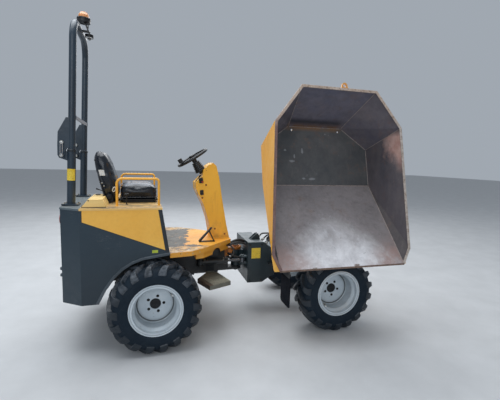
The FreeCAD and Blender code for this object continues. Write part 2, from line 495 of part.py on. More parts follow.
# pivot ears, ram lugs and stiffeners behind the ramp
rd = V(0, 573, -639).normalize()                 # crease to lip in (p, z)
ramp = lambda t, d: (367 + t * 0.6676 - d * 0.7445, 1360 - t * 0.7445 - d * 0.6676)
gear = []
e1, e2 = ramp(310, SKIP_T), ramp(560, SKIP_T)
for s in (-1, 1):
    u0, u1 = sorted((s * 158, s * 176))
    ear = pz([e1, e2, (TIP_P + 30, TIP_Z - 27), (TIP_P - 20, TIP_Z - 35, 1), (TIP_P - 36, TIP_Z + 16)], u0, u1)
    gear.append(ear.cut(pin(s * 150, s * 184, TIP_P, TIP_Z, 17.56)))
    u0, u1 = sorted((s * 36, s * 50))
    g1, g2 = ramp(260, SKIP_T), ramp(420, SKIP_T)
    k = pz([g1, g2, (JACK_E[0] + 22, JACK_E[1] - 21), (JACK_E[0] - 9, JACK_E[1] - 29, 1), (JACK_E[0] - 29, JACK_E[1] + 4)], u0, u1)
    gear.append(fuse(k, pin(s * 48, s * 60, JACK_E[0], JACK_E[1], 18.0)))
put("skip_brackets", gear, FRONT)
# lifting eye on the upper edge: ring plate in the plane of the mouth
EYE_R = 14.0
md = V(0, 51.0, 308.0).normalize()               # along the mouth plane, upwards (Y = -p)
mn = V(0, -308.0, 51.0).normalize()              # out of the mouth
ec = V(*up_(46, 694, 2218)) + md * 34 - mn * 14
ring = Part.makeCylinder(27, 12, ec - mn * 6, mn)
base = Part.Face(Part.makePolygon([ec - mn * 6 + V(-27, 0, 0), ec - mn * 6 + V(27, 0, 0),
                                   ec - mn * 6 + V(36, 0, 0) - md * 33, ec - mn * 6 + V(-36, 0, 0) - md * 33,
                                   ec - mn * 6 + V(-27, 0, 0)])).extrude(mn * 12)
put("lifting_eye", fuse(ring, base).cut(Part.makeCylinder(EYE_R, 40, ec - mn * 20, mn)).cut(shell), FRONT)

# ------------------------------------------------------------ output
lo, hi = V(1e9, 1e9, 1e9), V(-1e9, -1e9, -1e9)
for name, solids in NODES.items():
    shp = solids[0] if len(solids) == 1 else Part.makeCompound(solids)
    bb = shp.BoundBox
    lo = V(min(lo.x, bb.XMin), min(lo.y, bb.YMin), min(lo.z, bb.ZMin))
    hi = V(max(hi.x, bb.XMax), max(hi.y, bb.YMax), max(hi.z, bb.ZMax))
    ok = all(s.isValid() and s.Volume > 0 for s in solids)
    print("%-22s %d solids  vol %.5f m3  %s" % (name, len(solids), sum(s.Volume for s in solids) / 1e9, "" if ok else "INVALID"))
    shp.exportStep("parts/%s.step" % name)
print("box", lo, hi, "centre", (lo + hi) * 0.5)
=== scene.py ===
import bpy, bmesh, math, random
from mathutils import Vector, Matrix, noise


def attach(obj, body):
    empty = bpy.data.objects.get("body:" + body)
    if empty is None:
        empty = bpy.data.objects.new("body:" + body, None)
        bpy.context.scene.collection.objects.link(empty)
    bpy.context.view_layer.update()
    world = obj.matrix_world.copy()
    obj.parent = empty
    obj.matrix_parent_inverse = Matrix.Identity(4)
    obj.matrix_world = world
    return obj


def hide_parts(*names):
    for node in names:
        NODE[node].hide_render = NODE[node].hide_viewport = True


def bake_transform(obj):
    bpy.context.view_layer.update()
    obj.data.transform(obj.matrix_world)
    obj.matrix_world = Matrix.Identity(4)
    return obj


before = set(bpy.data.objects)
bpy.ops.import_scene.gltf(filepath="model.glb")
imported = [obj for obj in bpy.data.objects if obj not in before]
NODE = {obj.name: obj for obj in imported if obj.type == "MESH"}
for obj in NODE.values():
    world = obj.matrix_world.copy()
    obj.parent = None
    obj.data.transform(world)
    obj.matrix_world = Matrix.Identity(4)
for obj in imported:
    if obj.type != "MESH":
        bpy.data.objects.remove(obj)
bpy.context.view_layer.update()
COLL = bpy.context.scene.collection
rnd = random.Random(7)

# ------------------------------------------------------------------ places
# machine frame: millimetres, X forward on the rear frame from the rear axle, Y left, Z up
OX, OY = 680.0, -151.0
STEER = math.radians(-2.4)
PIV = 835.5
FX, FY = PIV + PIV * math.cos(STEER) - OX, PIV * math.sin(STEER) - OY
SLEW_X = -110.0

def M(x, y, z):
    return Vector(((x - OX) / 1000, (y - OY) / 1000, z / 1000))

def F(x, y, z):
    c, s = math.cos(STEER), math.sin(STEER)
    return Vector(((FX + x * c - y * s) / 1000, (FY + x * s + y * c) / 1000, z / 1000))

def U(u, p, z):
    return F(SLEW_X + u, -p, z)

LEAN = math.radians(2.12)
def P(x, y, z):
    """Roll-over bar frame: foot of the posts on the deck, leaned back."""
    return M(-643 + x * math.cos(LEAN) + z * math.sin(LEAN), y, 1188 - x * math.sin(LEAN) + z * math.cos(LEAN))

# ------------------------------------------------------------------ materials
def lin(r, g, b):
    f = lambda c: ((c / 255 + 0.055) / 1.055) ** 2.4 if c > 10.3 else c / 255 / 12.92
    return (f(r), f(g), f(b), 1.0)

class Mat:
    def __init__(self, name):
        self.m = bpy.data.materials.new(name)
        self.m.use_nodes = True
        self.nt = self.m.node_tree
        self.n, self.l = self.nt.nodes, self.nt.links
        self.b = self.n["Principled BSDF"]
        tc = self.n.new("ShaderNodeTexCoord")
        self.obj, self.nrm = tc.outputs["Object"], tc.outputs["Normal"]
    def link(self, s, sock):
        if isinstance(s, bpy.types.NodeSocket):
            self.l.new(s, sock)
        else:
            sock.default_value = s
    def mapped(self, vec, loc=(0, 0, 0), rot=(0, 0, 0), scale=(1, 1, 1), kind="POINT"):
        n = self.n.new("ShaderNodeMapping"); n.vector_type = kind
        self.link(vec, n.inputs["Vector"])
        n.inputs["Location"].default_value = loc; n.inputs["Rotation"].default_value = rot; n.inputs["Scale"].default_value = scale
        return n.outputs["Vector"]
    def noise(self, scale, detail=5.0, rough=0.6, vec=None, distort=0.0):
        n = self.n.new("ShaderNodeTexNoise")
        self.link(vec if vec is not None else self.obj, n.inputs["Vector"])
        n.inputs["Scale"].default_value = scale; n.inputs["Detail"].default_value = detail
        n.inputs["Roughness"].default_value = rough; n.inputs["Distortion"].default_value = distort
        return n.outputs["Fac"]
    def voronoi(self, scale, vec=None, feature="F1", out="Distance"):
        n = self.n.new("ShaderNodeTexVoronoi"); n.feature = feature
        self.link(vec if vec is not None else self.obj, n.inputs["Vector"])
        n.inputs["Scale"].default_value = scale
        return n.outputs[out]
    def ramp(self, fac, lo, hi, a=0.0, b=1.0):
        n = self.n.new("ShaderNodeMapRange"); n.clamp = True
        self.link(fac, n.inputs["Value"])
        for k, v in (("From Min", lo), ("From Max", hi), ("To Min", a), ("To Max", b)):
            n.inputs[k].default_value = v
        return n.outputs["Result"]
    def math(self, op, a, b=0.0, c=0.0, clamp=False):
        n = self.n.new("ShaderNodeMath"); n.operation = op; n.use_clamp = clamp
        self.link(a, n.inputs[0]); self.link(b, n.inputs[1]); self.link(c, n.inputs[2])
        return n.outputs[0]
    def mul(self, *s):
        o = s[0]
        for k in s[1:]:
            o = self.math("MULTIPLY", o, k)
        return o
    def mix(self, fac, a, b, mode="MIX"):
        n = self.n.new("ShaderNodeMix"); n.data_type = "RGBA"; n.blend_type = mode; n.clamp_factor = True
        self.link(fac, n.inputs[0]); self.link(a, n.inputs[6]); self.link(b, n.inputs[7])
        return n.outputs[2]
    def xyz(self, vec):
        n = self.n.new("ShaderNodeSeparateXYZ"); self.link(vec, n.inputs[0])
        return n.outputs
    def dot(self, a, b):
        n = self.n.new("ShaderNodeVectorMath"); n.operation = "DOT_PRODUCT"
        self.link(a, n.inputs[0]); self.link(b, n.inputs[1])
        return n.outputs["Value"]
    def sub(self, a, b):
        n = self.n.new("ShaderNodeVectorMath"); n.operation = "SUBTRACT"
        self.link(a, n.inputs[0]); self.link(b, n.inputs[1])
        return n.outputs["Vector"]
    def bump(self, height, strength=0.3, dist=0.002, normal=None):
        n = self.n.new("ShaderNodeBump")
        n.inputs["Strength"].default_value = strength; n.inputs["Distance"].default_value = dist
        self.link(height, n.inputs["Height"])
        if normal is not None:
            self.link(normal, n.inputs["Normal"])
        return n.outputs["Normal"]
    def done(self, color=None, rough=None, metal=None, normal=None, coat=None, spec=None):
        if color is not None: self.link(color, self.b.inputs["Base Color"])
        if rough is not None: self.link(rough, self.b.inputs["Roughness"])
        if metal is not None: self.link(metal, self.b.inputs["Metallic"])
        if normal is not None: self.link(normal, self.b.inputs["Normal"])
        if coat is not None: self.b.inputs["Coat Weight"].default_value = coat
        if spec is not None: self.b.inputs["Specular IOR Level"].default_value = spec
        return self.m
    # layers used by several materials
    def scratches(self, scale=14.0, sharp=0.03, vec=None):
        """Thin long marks: bands of a stretched, warped noise near its middle value."""
        v = self.mapped(vec if vec is not None else self.obj, scale=(1.0, 1.0, 7.0), rot=(0.5, 0.9, 0.3))
        n = self.noise(scale, 2.0, 0.5, v, 0.4)
        d = self.math("ABSOLUTE", self.math("SUBTRACT", n, 0.5))
        line = self.ramp(d, 0.0, sharp * 0.25, 1.0, 0.0)
        keep = self.ramp(self.noise(scale * 0.35, 2.0), 0.56, 0.66)
        return self.mul(line, keep)
    def grime(self, low, high, amount):
        """Dust that gets heavier towards the ground, broken up by noise. low and high are heights in metres."""
        z = self.xyz(self.obj)[2]
        g = self.ramp(z, low, high, 1.0, 0.0)
        return self.mul(g, self.ramp(self.noise(9.0, 6.0), 0.3, 0.75), amount)

SLATE, SLATE_LIGHT = lin(22, 42, 54), lin(52, 66, 76)
YELLOW, YELLOW_PALE, YELLOW_DEEP = lin(240, 158, 30), lin(246, 178, 74), lin(204, 122, 18)
DUST, RUST, STEEL_WORN = lin(128, 118, 104), lin(112, 62, 36), lin(132, 124, 114)

def paint_into(k, base, base2, chips=0.5, dust=0.6, low=0.35, high=1.1, chip_under=None):
    """Colour, roughness and height of a worn coat of paint."""
    big = k.noise(2.6, 4.0)
    c = k.mix(k.ramp(big, 0.3, 0.7), base, base2)
    cloud = k.ramp(k.noise(38.0, 4.0), 0.35, 0.75, 0.0, 0.22)
    c = k.mix(cloud, c, base2)
    chip = k.mul(k.ramp(k.noise(70.0, 3.0, 0.55), 0.66, 0.69), k.ramp(k.noise(6.0, 3.0), 0.5, 0.62), chips)
    c = k.mix(chip, c, chip_under or lin(74, 66, 58))
    scr = k.mul(k.scratches(), 0.35)
    c = k.mix(scr, c, lin(168, 166, 160))
    g = k.grime(low, high, dust)
    c = k.mix(g, c, DUST)
    r = k.ramp(k.noise(22.0, 5.0), 0.3, 0.7, 0.34, 0.52)
    r = k.math("ADD", r, k.mul(g, 0.35))
    h = k.math("SUBTRACT", k.mul(k.noise(240.0, 2.0), 0.25), k.math("ADD", chip, k.mul(scr, 0.4)))
    return c, r, h

def paint(name, base, base2, **kw):
    k = Mat(name)
    c, r, h = paint_into(k, base, base2, **kw)
    return k.done(c, r, 0.0, k.bump(h, 0.25, 0.0012), coat=0.12)

slate = paint("slate_paint", SLATE, lin(31, 51, 63), chips=0.35, dust=0.05)
slate_bar = paint("slate_bar_paint", lin(24, 39, 52), lin(38, 56, 70), chips=0.4, dust=0.0)

# hoop: slate tubes, the cross strip worn to grey primer
k = Mat("hoop_paint")
c, r, h = paint_into(k, lin(24, 39, 52), lin(38, 56, 70), chips=0.4, dust=0.0)
strip = k.mul(k.ramp(k.math("ABSOLUTE", k.math("SUBTRACT", k.xyz(k.obj)[2], P(25, 0, 698).z)), 0.0155, 0.017, 1.0, 0.0),
              k.ramp(k.math("ABSOLUTE", k.math("SUBTRACT", k.xyz(k.obj)[1], M(0, 0, 0).y)), 0.3040, 0.3050, 1.0, 0.0))
c = k.mix(strip, c, k.mix(k.ramp(k.noise(24.0, 6.0, 0.7), 0.35, 0.65), lin(118, 118, 124), lin(142, 140, 144)))
hoop_mat = k.done(c, r, 0.0, k.bump(h, 0.25, 0.0012), coat=0.12)
# front frame's box: upward faces painted pale bluish grey as a painted highlight of the sky; painted shade darker
# towards the ground
k = Mat("slate_box_paint")
c, r, h = paint_into(k, lin(21, 37, 45), lin(34, 52, 58), chips=0.6, dust=0.05, low=0.35, high=0.8)
# painted highlight: upward faces pale bluish grey, patchy, standing for the sky light on the top
c = k.mix(k.mul(k.ramp(k.xyz(k.nrm)[2], 0.6, 0.8), k.ramp(k.noise(15.0, 6.0, 0.7), 0.3, 0.6, 0.5, 1.0), 0.85), c, lin(118, 126, 130))
# painted shade: darker and bluish black towards the ground
c = k.mix(k.ramp(k.xyz(k.obj)[2], 0.60, 0.45, 0.0, 0.45), c, lin(12, 15, 18))
slate_front = k.done(c, r, 0.0, k.bump(h, 0.25, 0.0012), coat=0.12)
# arch lips in a lighter slate: painted highlight along the lip's edge
slate_lip_highlight = paint("slate_lip_painted_highlight", lin(42, 54, 63), lin(82, 92, 100), chips=0.5, dust=0.15, low=0.3, high=0.9)
ear_yellow = paint("gusset_paint", lin(206, 118, 26), lin(226, 142, 46), chips=0.9, dust=0.1, chip_under=lin(60, 46, 36))
eye_paint = paint("lifting_eye_paint", lin(206, 142, 66), lin(222, 164, 92), chips=0.9, dust=0.0, chip_under=lin(120, 88, 60))
yellow = paint("yellow_paint", lin(238, 172, 56), lin(246, 190, 88), chips=0.55, dust=0.2, low=0.6, high=1.2, chip_under=lin(96, 66, 44))
yellow_faded = paint("yellow_faded_paint", lin(253, 210, 122), lin(254, 220, 148), chips=0.8, dust=0.0, chip_under=lin(130, 92, 56))
yellow_rail = paint("yellow_rail_paint", lin(236, 160, 34), lin(248, 186, 70), chips=0.8, dust=0.1, chip_under=lin(120, 84, 50))
chassis = paint("chassis_dark_paint", lin(16, 25, 32), lin(27, 37, 45), chips=0.5, dust=0.22, low=0.3, high=0.95)
bare_grey = paint("grey_bar_paint", lin(120, 124, 128), lin(146, 148, 150), chips=0.5, dust=0.0)

# rear frame: dark, with the centre joint's ears in yellow
k = Mat("rear_chassis_paint")
c, r, h = paint_into(k, lin(20, 25, 30), lin(32, 37, 42), chips=0.5, dust=0.22, low=0.3, high=0.95)
ear = k.mul(k.ramp(k.xyz(k.obj)[0], M(700, 0, 0).x, M(706, 0, 0).x), k.ramp(k.xyz(k.obj)[2], 0.60, 0.62))
worn = k.ramp(k.noise(30.0, 5.0), 0.42, 0.5, 1.0, 0.45)
c = k.mix(k.mul(ear, worn), c, lin(206, 122, 24))
rear_chassis_mat = k.done(c, r, 0.0, k.bump(h, 0.3, 0.0015))

# side panel: slate with the yellow band, dark line round the band, seam shadow at the corner, painted shade darker
# lower down
def side_panel():
    k = Mat("side_panel_paint")
    c, r, h = paint_into(k, SLATE, lin(31, 51, 63), chips=0.35, dust=0.04, low=0.3, high=1.0)
    x, y, z = k.xyz(k.obj)
    # painted shade: darker and bluish black lower down on the panel
    c = k.mix(k.ramp(z, 0.90, 0.50, 0.0, 0.45), c, lin(8, 22, 32))
    x0, z0 = M(-535, 0, 0).x, 1.087
    low = k.math("ADD", z0, k.mul(k.math("SUBTRACT", x, x0), -0.4033))
    front = k.math("ADD", M(53, 0, 0).x - 0.031, k.mul(k.math("SUBTRACT", 1.174, z), 0.1645))
    d1 = k.math("SUBTRACT", x, x0)
    d2 = k.math("SUBTRACT", z, low)
    d3 = k.math("SUBTRACT", front, x)
    d = k.math("MINIMUM", k.math("MINIMUM", d1, d2), d3)
    ny = k.math("ABSOLUTE", k.xyz(k.nrm)[1])
    side = k.ramp(ny, 0.9, 0.95)
    band = k.mul(k.ramp(d, -0.0008, 0.0008), side)
    line = k.mul(k.ramp(k.math("ABSOLUTE", k.math("ADD", d, 0.003)), 0.002, 0.0045, 1.0, 0.0), side)
    faded = k.mix(k.ramp(k.noise(3.0, 4.0), 0.3, 0.7), lin(243, 178, 66), lin(250, 194, 86))
    faded = k.mix(k.ramp(k.noise(46.0, 4.0), 0.45, 0.85, 0.0, 0.35), faded, lin(222, 158, 62))
    faded = k.mix(k.mul(k.scratches(17.0), 0.5), faded, lin(150, 110, 60))
    c = k.mix(line, c, lin(22, 28, 32))
    c = k.mix(band, c, faded)
    edge = k.mul(k.ramp(d3, -0.0008, 0.0004, 1.0, 0.0), k.ramp(z, 0.82, 0.84), side)
    c = k.mix(edge, c, lin(33, 42, 48))
    hh = k.math("ADD", h, k.mul(band, 0.5))
    return k.done(c, r, 0.0, k.bump(hh, 0.3, 0.0012), coat=0.12)
side_mat = side_panel()

# deck: yellow edge along the body, slate behind the corner
def deck_paint():
    k = Mat("deck_paint")
    c, r, h = paint_into(k, lin(226, 176, 92), lin(236, 194, 120), chips=0.9, dust=0.0, chip_under=lin(110, 92, 70))
    x, y, z = k.xyz(k.obj)
    top = k.ramp(k.xyz(k.nrm)[2], 0.85, 0.95)
    dirt = k.mul(top, k.ramp(k.noise(12.0, 7.0, 0.7), 0.35, 0.68, 0.25, 0.95))
    c = k.mix(dirt, c, lin(74, 70, 60))
    back = k.ramp(x, M(-556, 0, 0).x, M(-553, 0, 0).x, 1.0, 0.0)
    c = k.mix(back, c, k.mix(k.mul(top, k.noise(20.0)), lin(86, 98, 104), lin(118, 120, 116)))
    r = k.math("ADD", r, k.mul(dirt, 0.3))
    return k.done(c, r, 0.0, k.bump(h, 0.3, 0.0012))
deck_mat = deck_paint()

# footplate: scuffed steel on top with yellow left round the edges, chipped yellow below
def foot_paint():
    k = Mat("footplate_paint")
    c, r, h = paint_into(k, lin(227, 150, 38), lin(239, 174, 64), chips=0.9, dust=0.15, low=0.6, high=0.9, chip_under=lin(116, 72, 40))
    x, y, z = k.xyz(k.obj)
    nz = k.xyz(k.nrm)[2]
    top = k.ramp(nz, 0.9, 0.96)
    # scuffed bare where the feet go: rear and middle; paint stays along the edges and round the pedestal
    d1 = k.math("SUBTRACT", k.math("ADD", k.mul(y, 0.157), -0.373), x)
    d2 = k.math("ADD", y, 0.214)
    d3 = k.math("SUBTRACT", 0.551, y)
    e = k.math("MINIMUM", d1, k.math("MINIMUM", d2, d3))
    px = k.math("DIVIDE", k.math("ADD", x, 0.355), 0.085)
    py = k.math("DIVIDE", k.math("ADD", y, 0.190), 0.045)
    patch = k.mul(k.math("SUBTRACT", 1.0, k.math("ADD", k.mul(px, px), k.mul(py, py))), 0.04)
    e = k.math("MAXIMUM", e, patch)
    wob = k.math("ADD", e, k.ramp(k.noise(11.0, 7.0, 0.72), 0.2, 0.8, -0.075, 0.075))
    worn = k.mul(top, k.ramp(wob, -0.002, 0.006))
    keep = k.mul(k.ramp(k.noise(23.0, 6.0, 0.7), 0.61, 0.64), k.ramp(wob, 0.16, 0.06))
    worn = k.mul(worn, k.math("SUBTRACT", 1.0, keep))
    steel = k.mix(k.ramp(k.noise(16.0, 7.0, 0.7), 0.3, 0.7), lin(80, 80, 77), lin(118, 116, 111))
    steel = k.mix(k.ramp(k.noise(7.0, 6.0, 0.7), 0.54, 0.7, 0.0, 0.6), steel, lin(132, 104, 82))
    halo = k.mul(top, k.ramp(k.math("ABSOLUTE", k.math("SUBTRACT", wob, 0.004)), 0.0, 0.016, 0.8, 0.0), k.ramp(k.noise(40.0), 0.4, 0.6))
    c = k.mix(halo, c, lin(192, 122, 60))
    # near the outer edges: cream, brown and grey left between the paint
    near = k.math("ABSOLUTE", k.math("SUBTRACT", y, 0.151))
    strip = k.mul(top, k.ramp(near, 0.33, 0.37), k.ramp(x, -0.15, -0.27))
    blot = k.noise(15.0, 7.0, 0.72)
    mott = k.mix(k.ramp(blot, 0.46, 0.50), lin(196, 164, 112), lin(176, 132, 72))
    mott = k.mix(k.ramp(blot, 0.54, 0.57), mott, lin(104, 90, 76))
    mott = k.mix(k.ramp(k.noise(24.0, 6.0, 0.7), 0.56, 0.60), mott, lin(204, 190, 166))
    c = k.mix(k.mul(strip, k.ramp(k.noise(8.0, 6.0, 0.7), 0.34, 0.46)), c, mott)
    c = k.mix(k.mul(top, k.ramp(k.noise(19.0, 7.0, 0.72), 0.60, 0.64), 0.8), c, lin(190, 160, 116))
    c = k.mix(worn, c, steel)
    chip = k.mul(k.math("SUBTRACT", 1.0, top), k.ramp(k.noise(34.0, 5.0, 0.7), 0.58, 0.61), k.ramp(z, 0.765, 0.80))
    c = k.mix(chip, c, lin(190, 176, 150))
    r = k.math("ADD", r, k.mul(worn, 0.1))
    hh = k.math("SUBTRACT", h, k.math("ADD", k.mul(worn, 0.8), k.mul(chip, 0.6)))
    return k.done(c, r, k.mul(worn, 0.55), k.bump(hh, 0.45, 0.0014))
foot_mat = foot_paint()

def pedestal_paint():
    k = Mat("pedestal_paint")
    c, r, h = paint_into(k, lin(243, 176, 42), lin(250, 191, 64), chips=0.5, dust=0.0, chip_under=lin(110, 74, 44))
    z = k.xyz(k.obj)[2]
    drip = k.mul(k.ramp(k.noise(24.0, 4.0, 0.6, k.mapped(k.obj, scale=(1, 1, 0.12))), 0.52, 0.72), k.ramp(k.noise(3.0), 0.45, 0.6), 0.5)
    c = k.mix(drip, c, lin(196, 120, 40))
    spot = k.mul(k.ramp(k.noise(58.0, 4.0), 0.7, 0.74), k.ramp(z, 1.1, 1.35))
    c = k.mix(spot, c, lin(150, 60, 30))
    low = k.mul(k.ramp(z, 0.82, 1.02, 1.0, 0.0), k.ramp(k.noise(14.0, 6.0), 0.4, 0.7), 0.6)
    c = k.mix(low, c, lin(150, 118, 74))
    return k.done(c, r, 0.0, k.bump(h, 0.3, 0.0012), coat=0.15)
pedestal_mat = pedestal_paint()

# silver wheel paint
def rim_paint(name, cx, cy, turn):
    """cx, cy: a point of the axle in the row frame; turn: the axle's turn about Z."""
    k = Mat(name)
    c = k.mix(k.ramp(k.noise(5.0, 4.0), 0.3, 0.7), lin(184, 194, 201), lin(206, 214, 219))
    c = k.mix(k.ramp(k.noise(60.0, 5.0, 0.65), 0.62, 0.7, 0.0, 0.5), c, lin(120, 114, 104))
    c = k.mix(k.mul(k.scratches(26.0), 0.5), c, lin(110, 108, 104))
    q = k.mapped(k.obj, loc=(cx, cy, 0.376), rot=(0, 0, turn), kind="TEXTURE")
    qx, qy, qz = k.xyz(q)
    rad = k.math("SQRT", k.math("ADD", k.mul(qx, qx), k.mul(qz, qz)))
    # dark line round the disc's edge, pressed in as a groove too, and a soft darker band about it: painted shade of the
    # step between disc and barrel
    disc_edge_shade_groove = k.mul(k.ramp(k.math("ABSOLUTE", k.math("SUBTRACT", rad, 0.1485)), 0.0042, 0.0062, 1.0, 0.0), k.ramp(k.math("ABSOLUTE", qy), 0.565, 0.560))
    c = k.mix(disc_edge_shade_groove, c, lin(62, 68, 74))
    soft = k.mul(k.ramp(k.math("ABSOLUTE", k.math("SUBTRACT", rad, 0.150)), 0.0, 0.024, 0.62, 0.0), k.ramp(k.noise(26.0, 4.0), 0.3, 0.7, 0.5, 1.0))
    c = k.mix(soft, c, lin(104, 108, 108))
    bead = k.ramp(k.math("ABSOLUTE", k.math("SUBTRACT", rad, 0.2015)), 0.0015, 0.004, 0.55, 0.0)
    c = k.mix(bead, c, lin(110, 116, 120))
    mud = k.mul(k.ramp(k.xyz(k.obj)[2], 0.16, 0.34, 1.0, 0.0), k.ramp(k.noise(20.0, 6.0, 0.7), 0.45, 0.75), 0.35)
    c = k.mix(mud, c, lin(150, 144, 132))
    r = k.math("ADD", k.ramp(k.noise(30.0, 4.0), 0.3, 0.7, 0.34, 0.48), k.mul(mud, 0.3))
    return k.done(c, r, 0.15, k.bump(k.math("SUBTRACT", k.mul(k.noise(180.0, 3.0), 0.3), disc_edge_shade_groove), 0.3, 0.0015))
rim_rear = rim_paint("rim_silver_rear", M(0, 0, 0).x, M(0, 0, 0).y, 0.0)
rim_front = rim_paint("rim_silver_front", F(0, 0, 0).x, F(0, 0, 0).y, STEER)

def rubber(name, base, base2, dust=0.35, scale=1.0, rough=(0.62, 0.86), spec=None):
    k = Mat(name)
    c = k.mix(k.ramp(k.noise(7.0 * scale, 5.0), 0.3, 0.7), base, base2)
    d = k.mul(k.ramp(k.noise(16.0 * scale, 6.0, 0.7), 0.42, 0.72), dust)
    c = k.mix(d, c, lin(112, 110, 106))
    r = k.math("ADD", k.ramp(k.noise(40.0 * scale, 4.0), 0.3, 0.7, rough[0], rough[1]), k.mul(d, 0.1))
    h = k.math("ADD", k.noise(320.0 * scale, 3.0), k.mul(k.noise(60.0 * scale, 3.0), 0.8))
    return k.done(c, r, 0.0, k.bump(h, 0.25, 0.0012), spec=spec)
tyre_mat = rubber("tyre_rubber", lin(19, 31, 42), lin(25, 38, 49), dust=0.03, rough=(0.6, 0.8), spec=0.2)
flap_mat = rubber("flap_rubber", lin(12, 16, 24), lin(18, 22, 31), dust=0.02, rough=(0.6, 0.8), spec=0.08)
# lugs: dark flanks; pale bluish higher up, on the crown and the upper shoulders: dust and a painted highlight of the
# sky
k = Mat("tyre_lug_rubber")
c = k.mix(k.ramp(k.noise(7.0, 5.0), 0.3, 0.7), lin(14, 25, 34), lin(20, 32, 42))
d = k.mul(k.ramp(k.noise(15.0, 6.0, 0.7), 0.42, 0.62), k.ramp(k.xyz(k.obj)[2], 0.46, 0.70, 0.05, 0.60))
c = k.mix(d, c, lin(116, 122, 130))
h = k.math("ADD", k.noise(300.0, 3.0), k.mul(k.noise(52.0, 4.0, 0.7), 1.2))
lug_mat = k.done(c, k.ramp(k.noise(40.0, 4.0), 0.3, 0.7, 0.26, 0.44), 0.0, k.bump(h, 0.3, 0.0014))
hose_mat = rubber("hose_rubber", lin(20, 20, 22), lin(34, 34, 36), dust=0.3, scale=2.0, rough=(0.4, 0.6))
plastic = rubber("black_plastic", lin(14, 15, 17), lin(24, 25, 28), dust=0.08, scale=2.0, rough=(0.32, 0.5))
cast_mat = paint("cast_axle", lin(24, 26, 30), lin(38, 38, 40), chips=0.6, dust=0.35, low=0.2, high=0.6)

def vinyl(name, c1, c2, rough=(0.16, 0.34), top=0.0, calm=0.14, spec=0.5):
    k = Mat(name)
    c = k.mix(k.ramp(k.noise(6.0, 4.0), 0.3, 0.7), c1, c2)
    c = k.mix(k.mul(k.ramp(k.noise(26.0, 5.0, 0.7), 0.55, 0.75), 0.16), c, lin(80, 80, 84))
    grain = k.voronoi(420.0, None, "F1")
    wrinkle = k.noise(22.0, 3.0, 0.5, k.mapped(k.obj, scale=(1, 0.35, 1)), 0.6)
    r = k.math("ADD", k.ramp(k.noise(18.0, 4.0), 0.3, 0.7, rough[0], rough[1]), k.mul(grain, 0.08))
    h = k.math("ADD", k.mul(grain, 0.22), wrinkle)
    # the cushion's top is painted pale bluish: a painted reflection of the sky on the glossy vinyl
    nz, z = k.xyz(k.nrm)[2], k.xyz(k.obj)[2]
    painted_sky_reflection = k.mul(k.ramp(nz, 0.72, 0.93), k.ramp(z, 1.40, 1.38), k.ramp(k.noise(5.0, 3.0), 0.25, 0.5, 0.6, 1.0), top)
    c = k.mix(painted_sky_reflection, c, lin(112, 116, 126))
    return k.done(c, r, 0.0, k.bump(h, calm, 0.0016), spec=spec)
# top=0.8: strength of the painted sky reflection on the cushion's top
vinyl_mat = vinyl("black_vinyl", lin(14, 20, 29), lin(22, 28, 38), rough=(0.17, 0.27), top=0.8, calm=0.035)
shell_mat = vinyl("seat_shell", lin(17, 20, 24), lin(26, 28, 32), rough=(0.42, 0.6), spec=0.35)

def steel(name, c1, c2, rough=(0.2, 0.35), metal=1.0):
    k = Mat(name)
    c = k.mix(k.ramp(k.noise(30.0, 5.0), 0.3, 0.7), c1, c2)
    r = k.ramp(k.noise(90.0, 4.0), 0.3, 0.7, rough[0], rough[1])
    return k.done(c, r, metal, k.bump(k.noise(260.0, 2.0), 0.1, 0.0006))
chrome = steel("rod_chrome", lin(196, 198, 200), lin(222, 222, 224), (0.08, 0.2))
greasy_rod = steel("greasy_rod", lin(84, 88, 94), lin(120, 122, 126), (0.22, 0.4), 0.8)
zinc = steel("zinc_bolt", lin(150, 150, 148), lin(178, 176, 168), (0.3, 0.45))
dark_steel = steel("dark_steel", lin(38, 38, 40), lin(58, 54, 50), (0.4, 0.6), 0.7)
hub_mat = steel("hub_dark", lin(24, 25, 28), lin(40, 40, 42), (0.45, 0.65), 0.4)

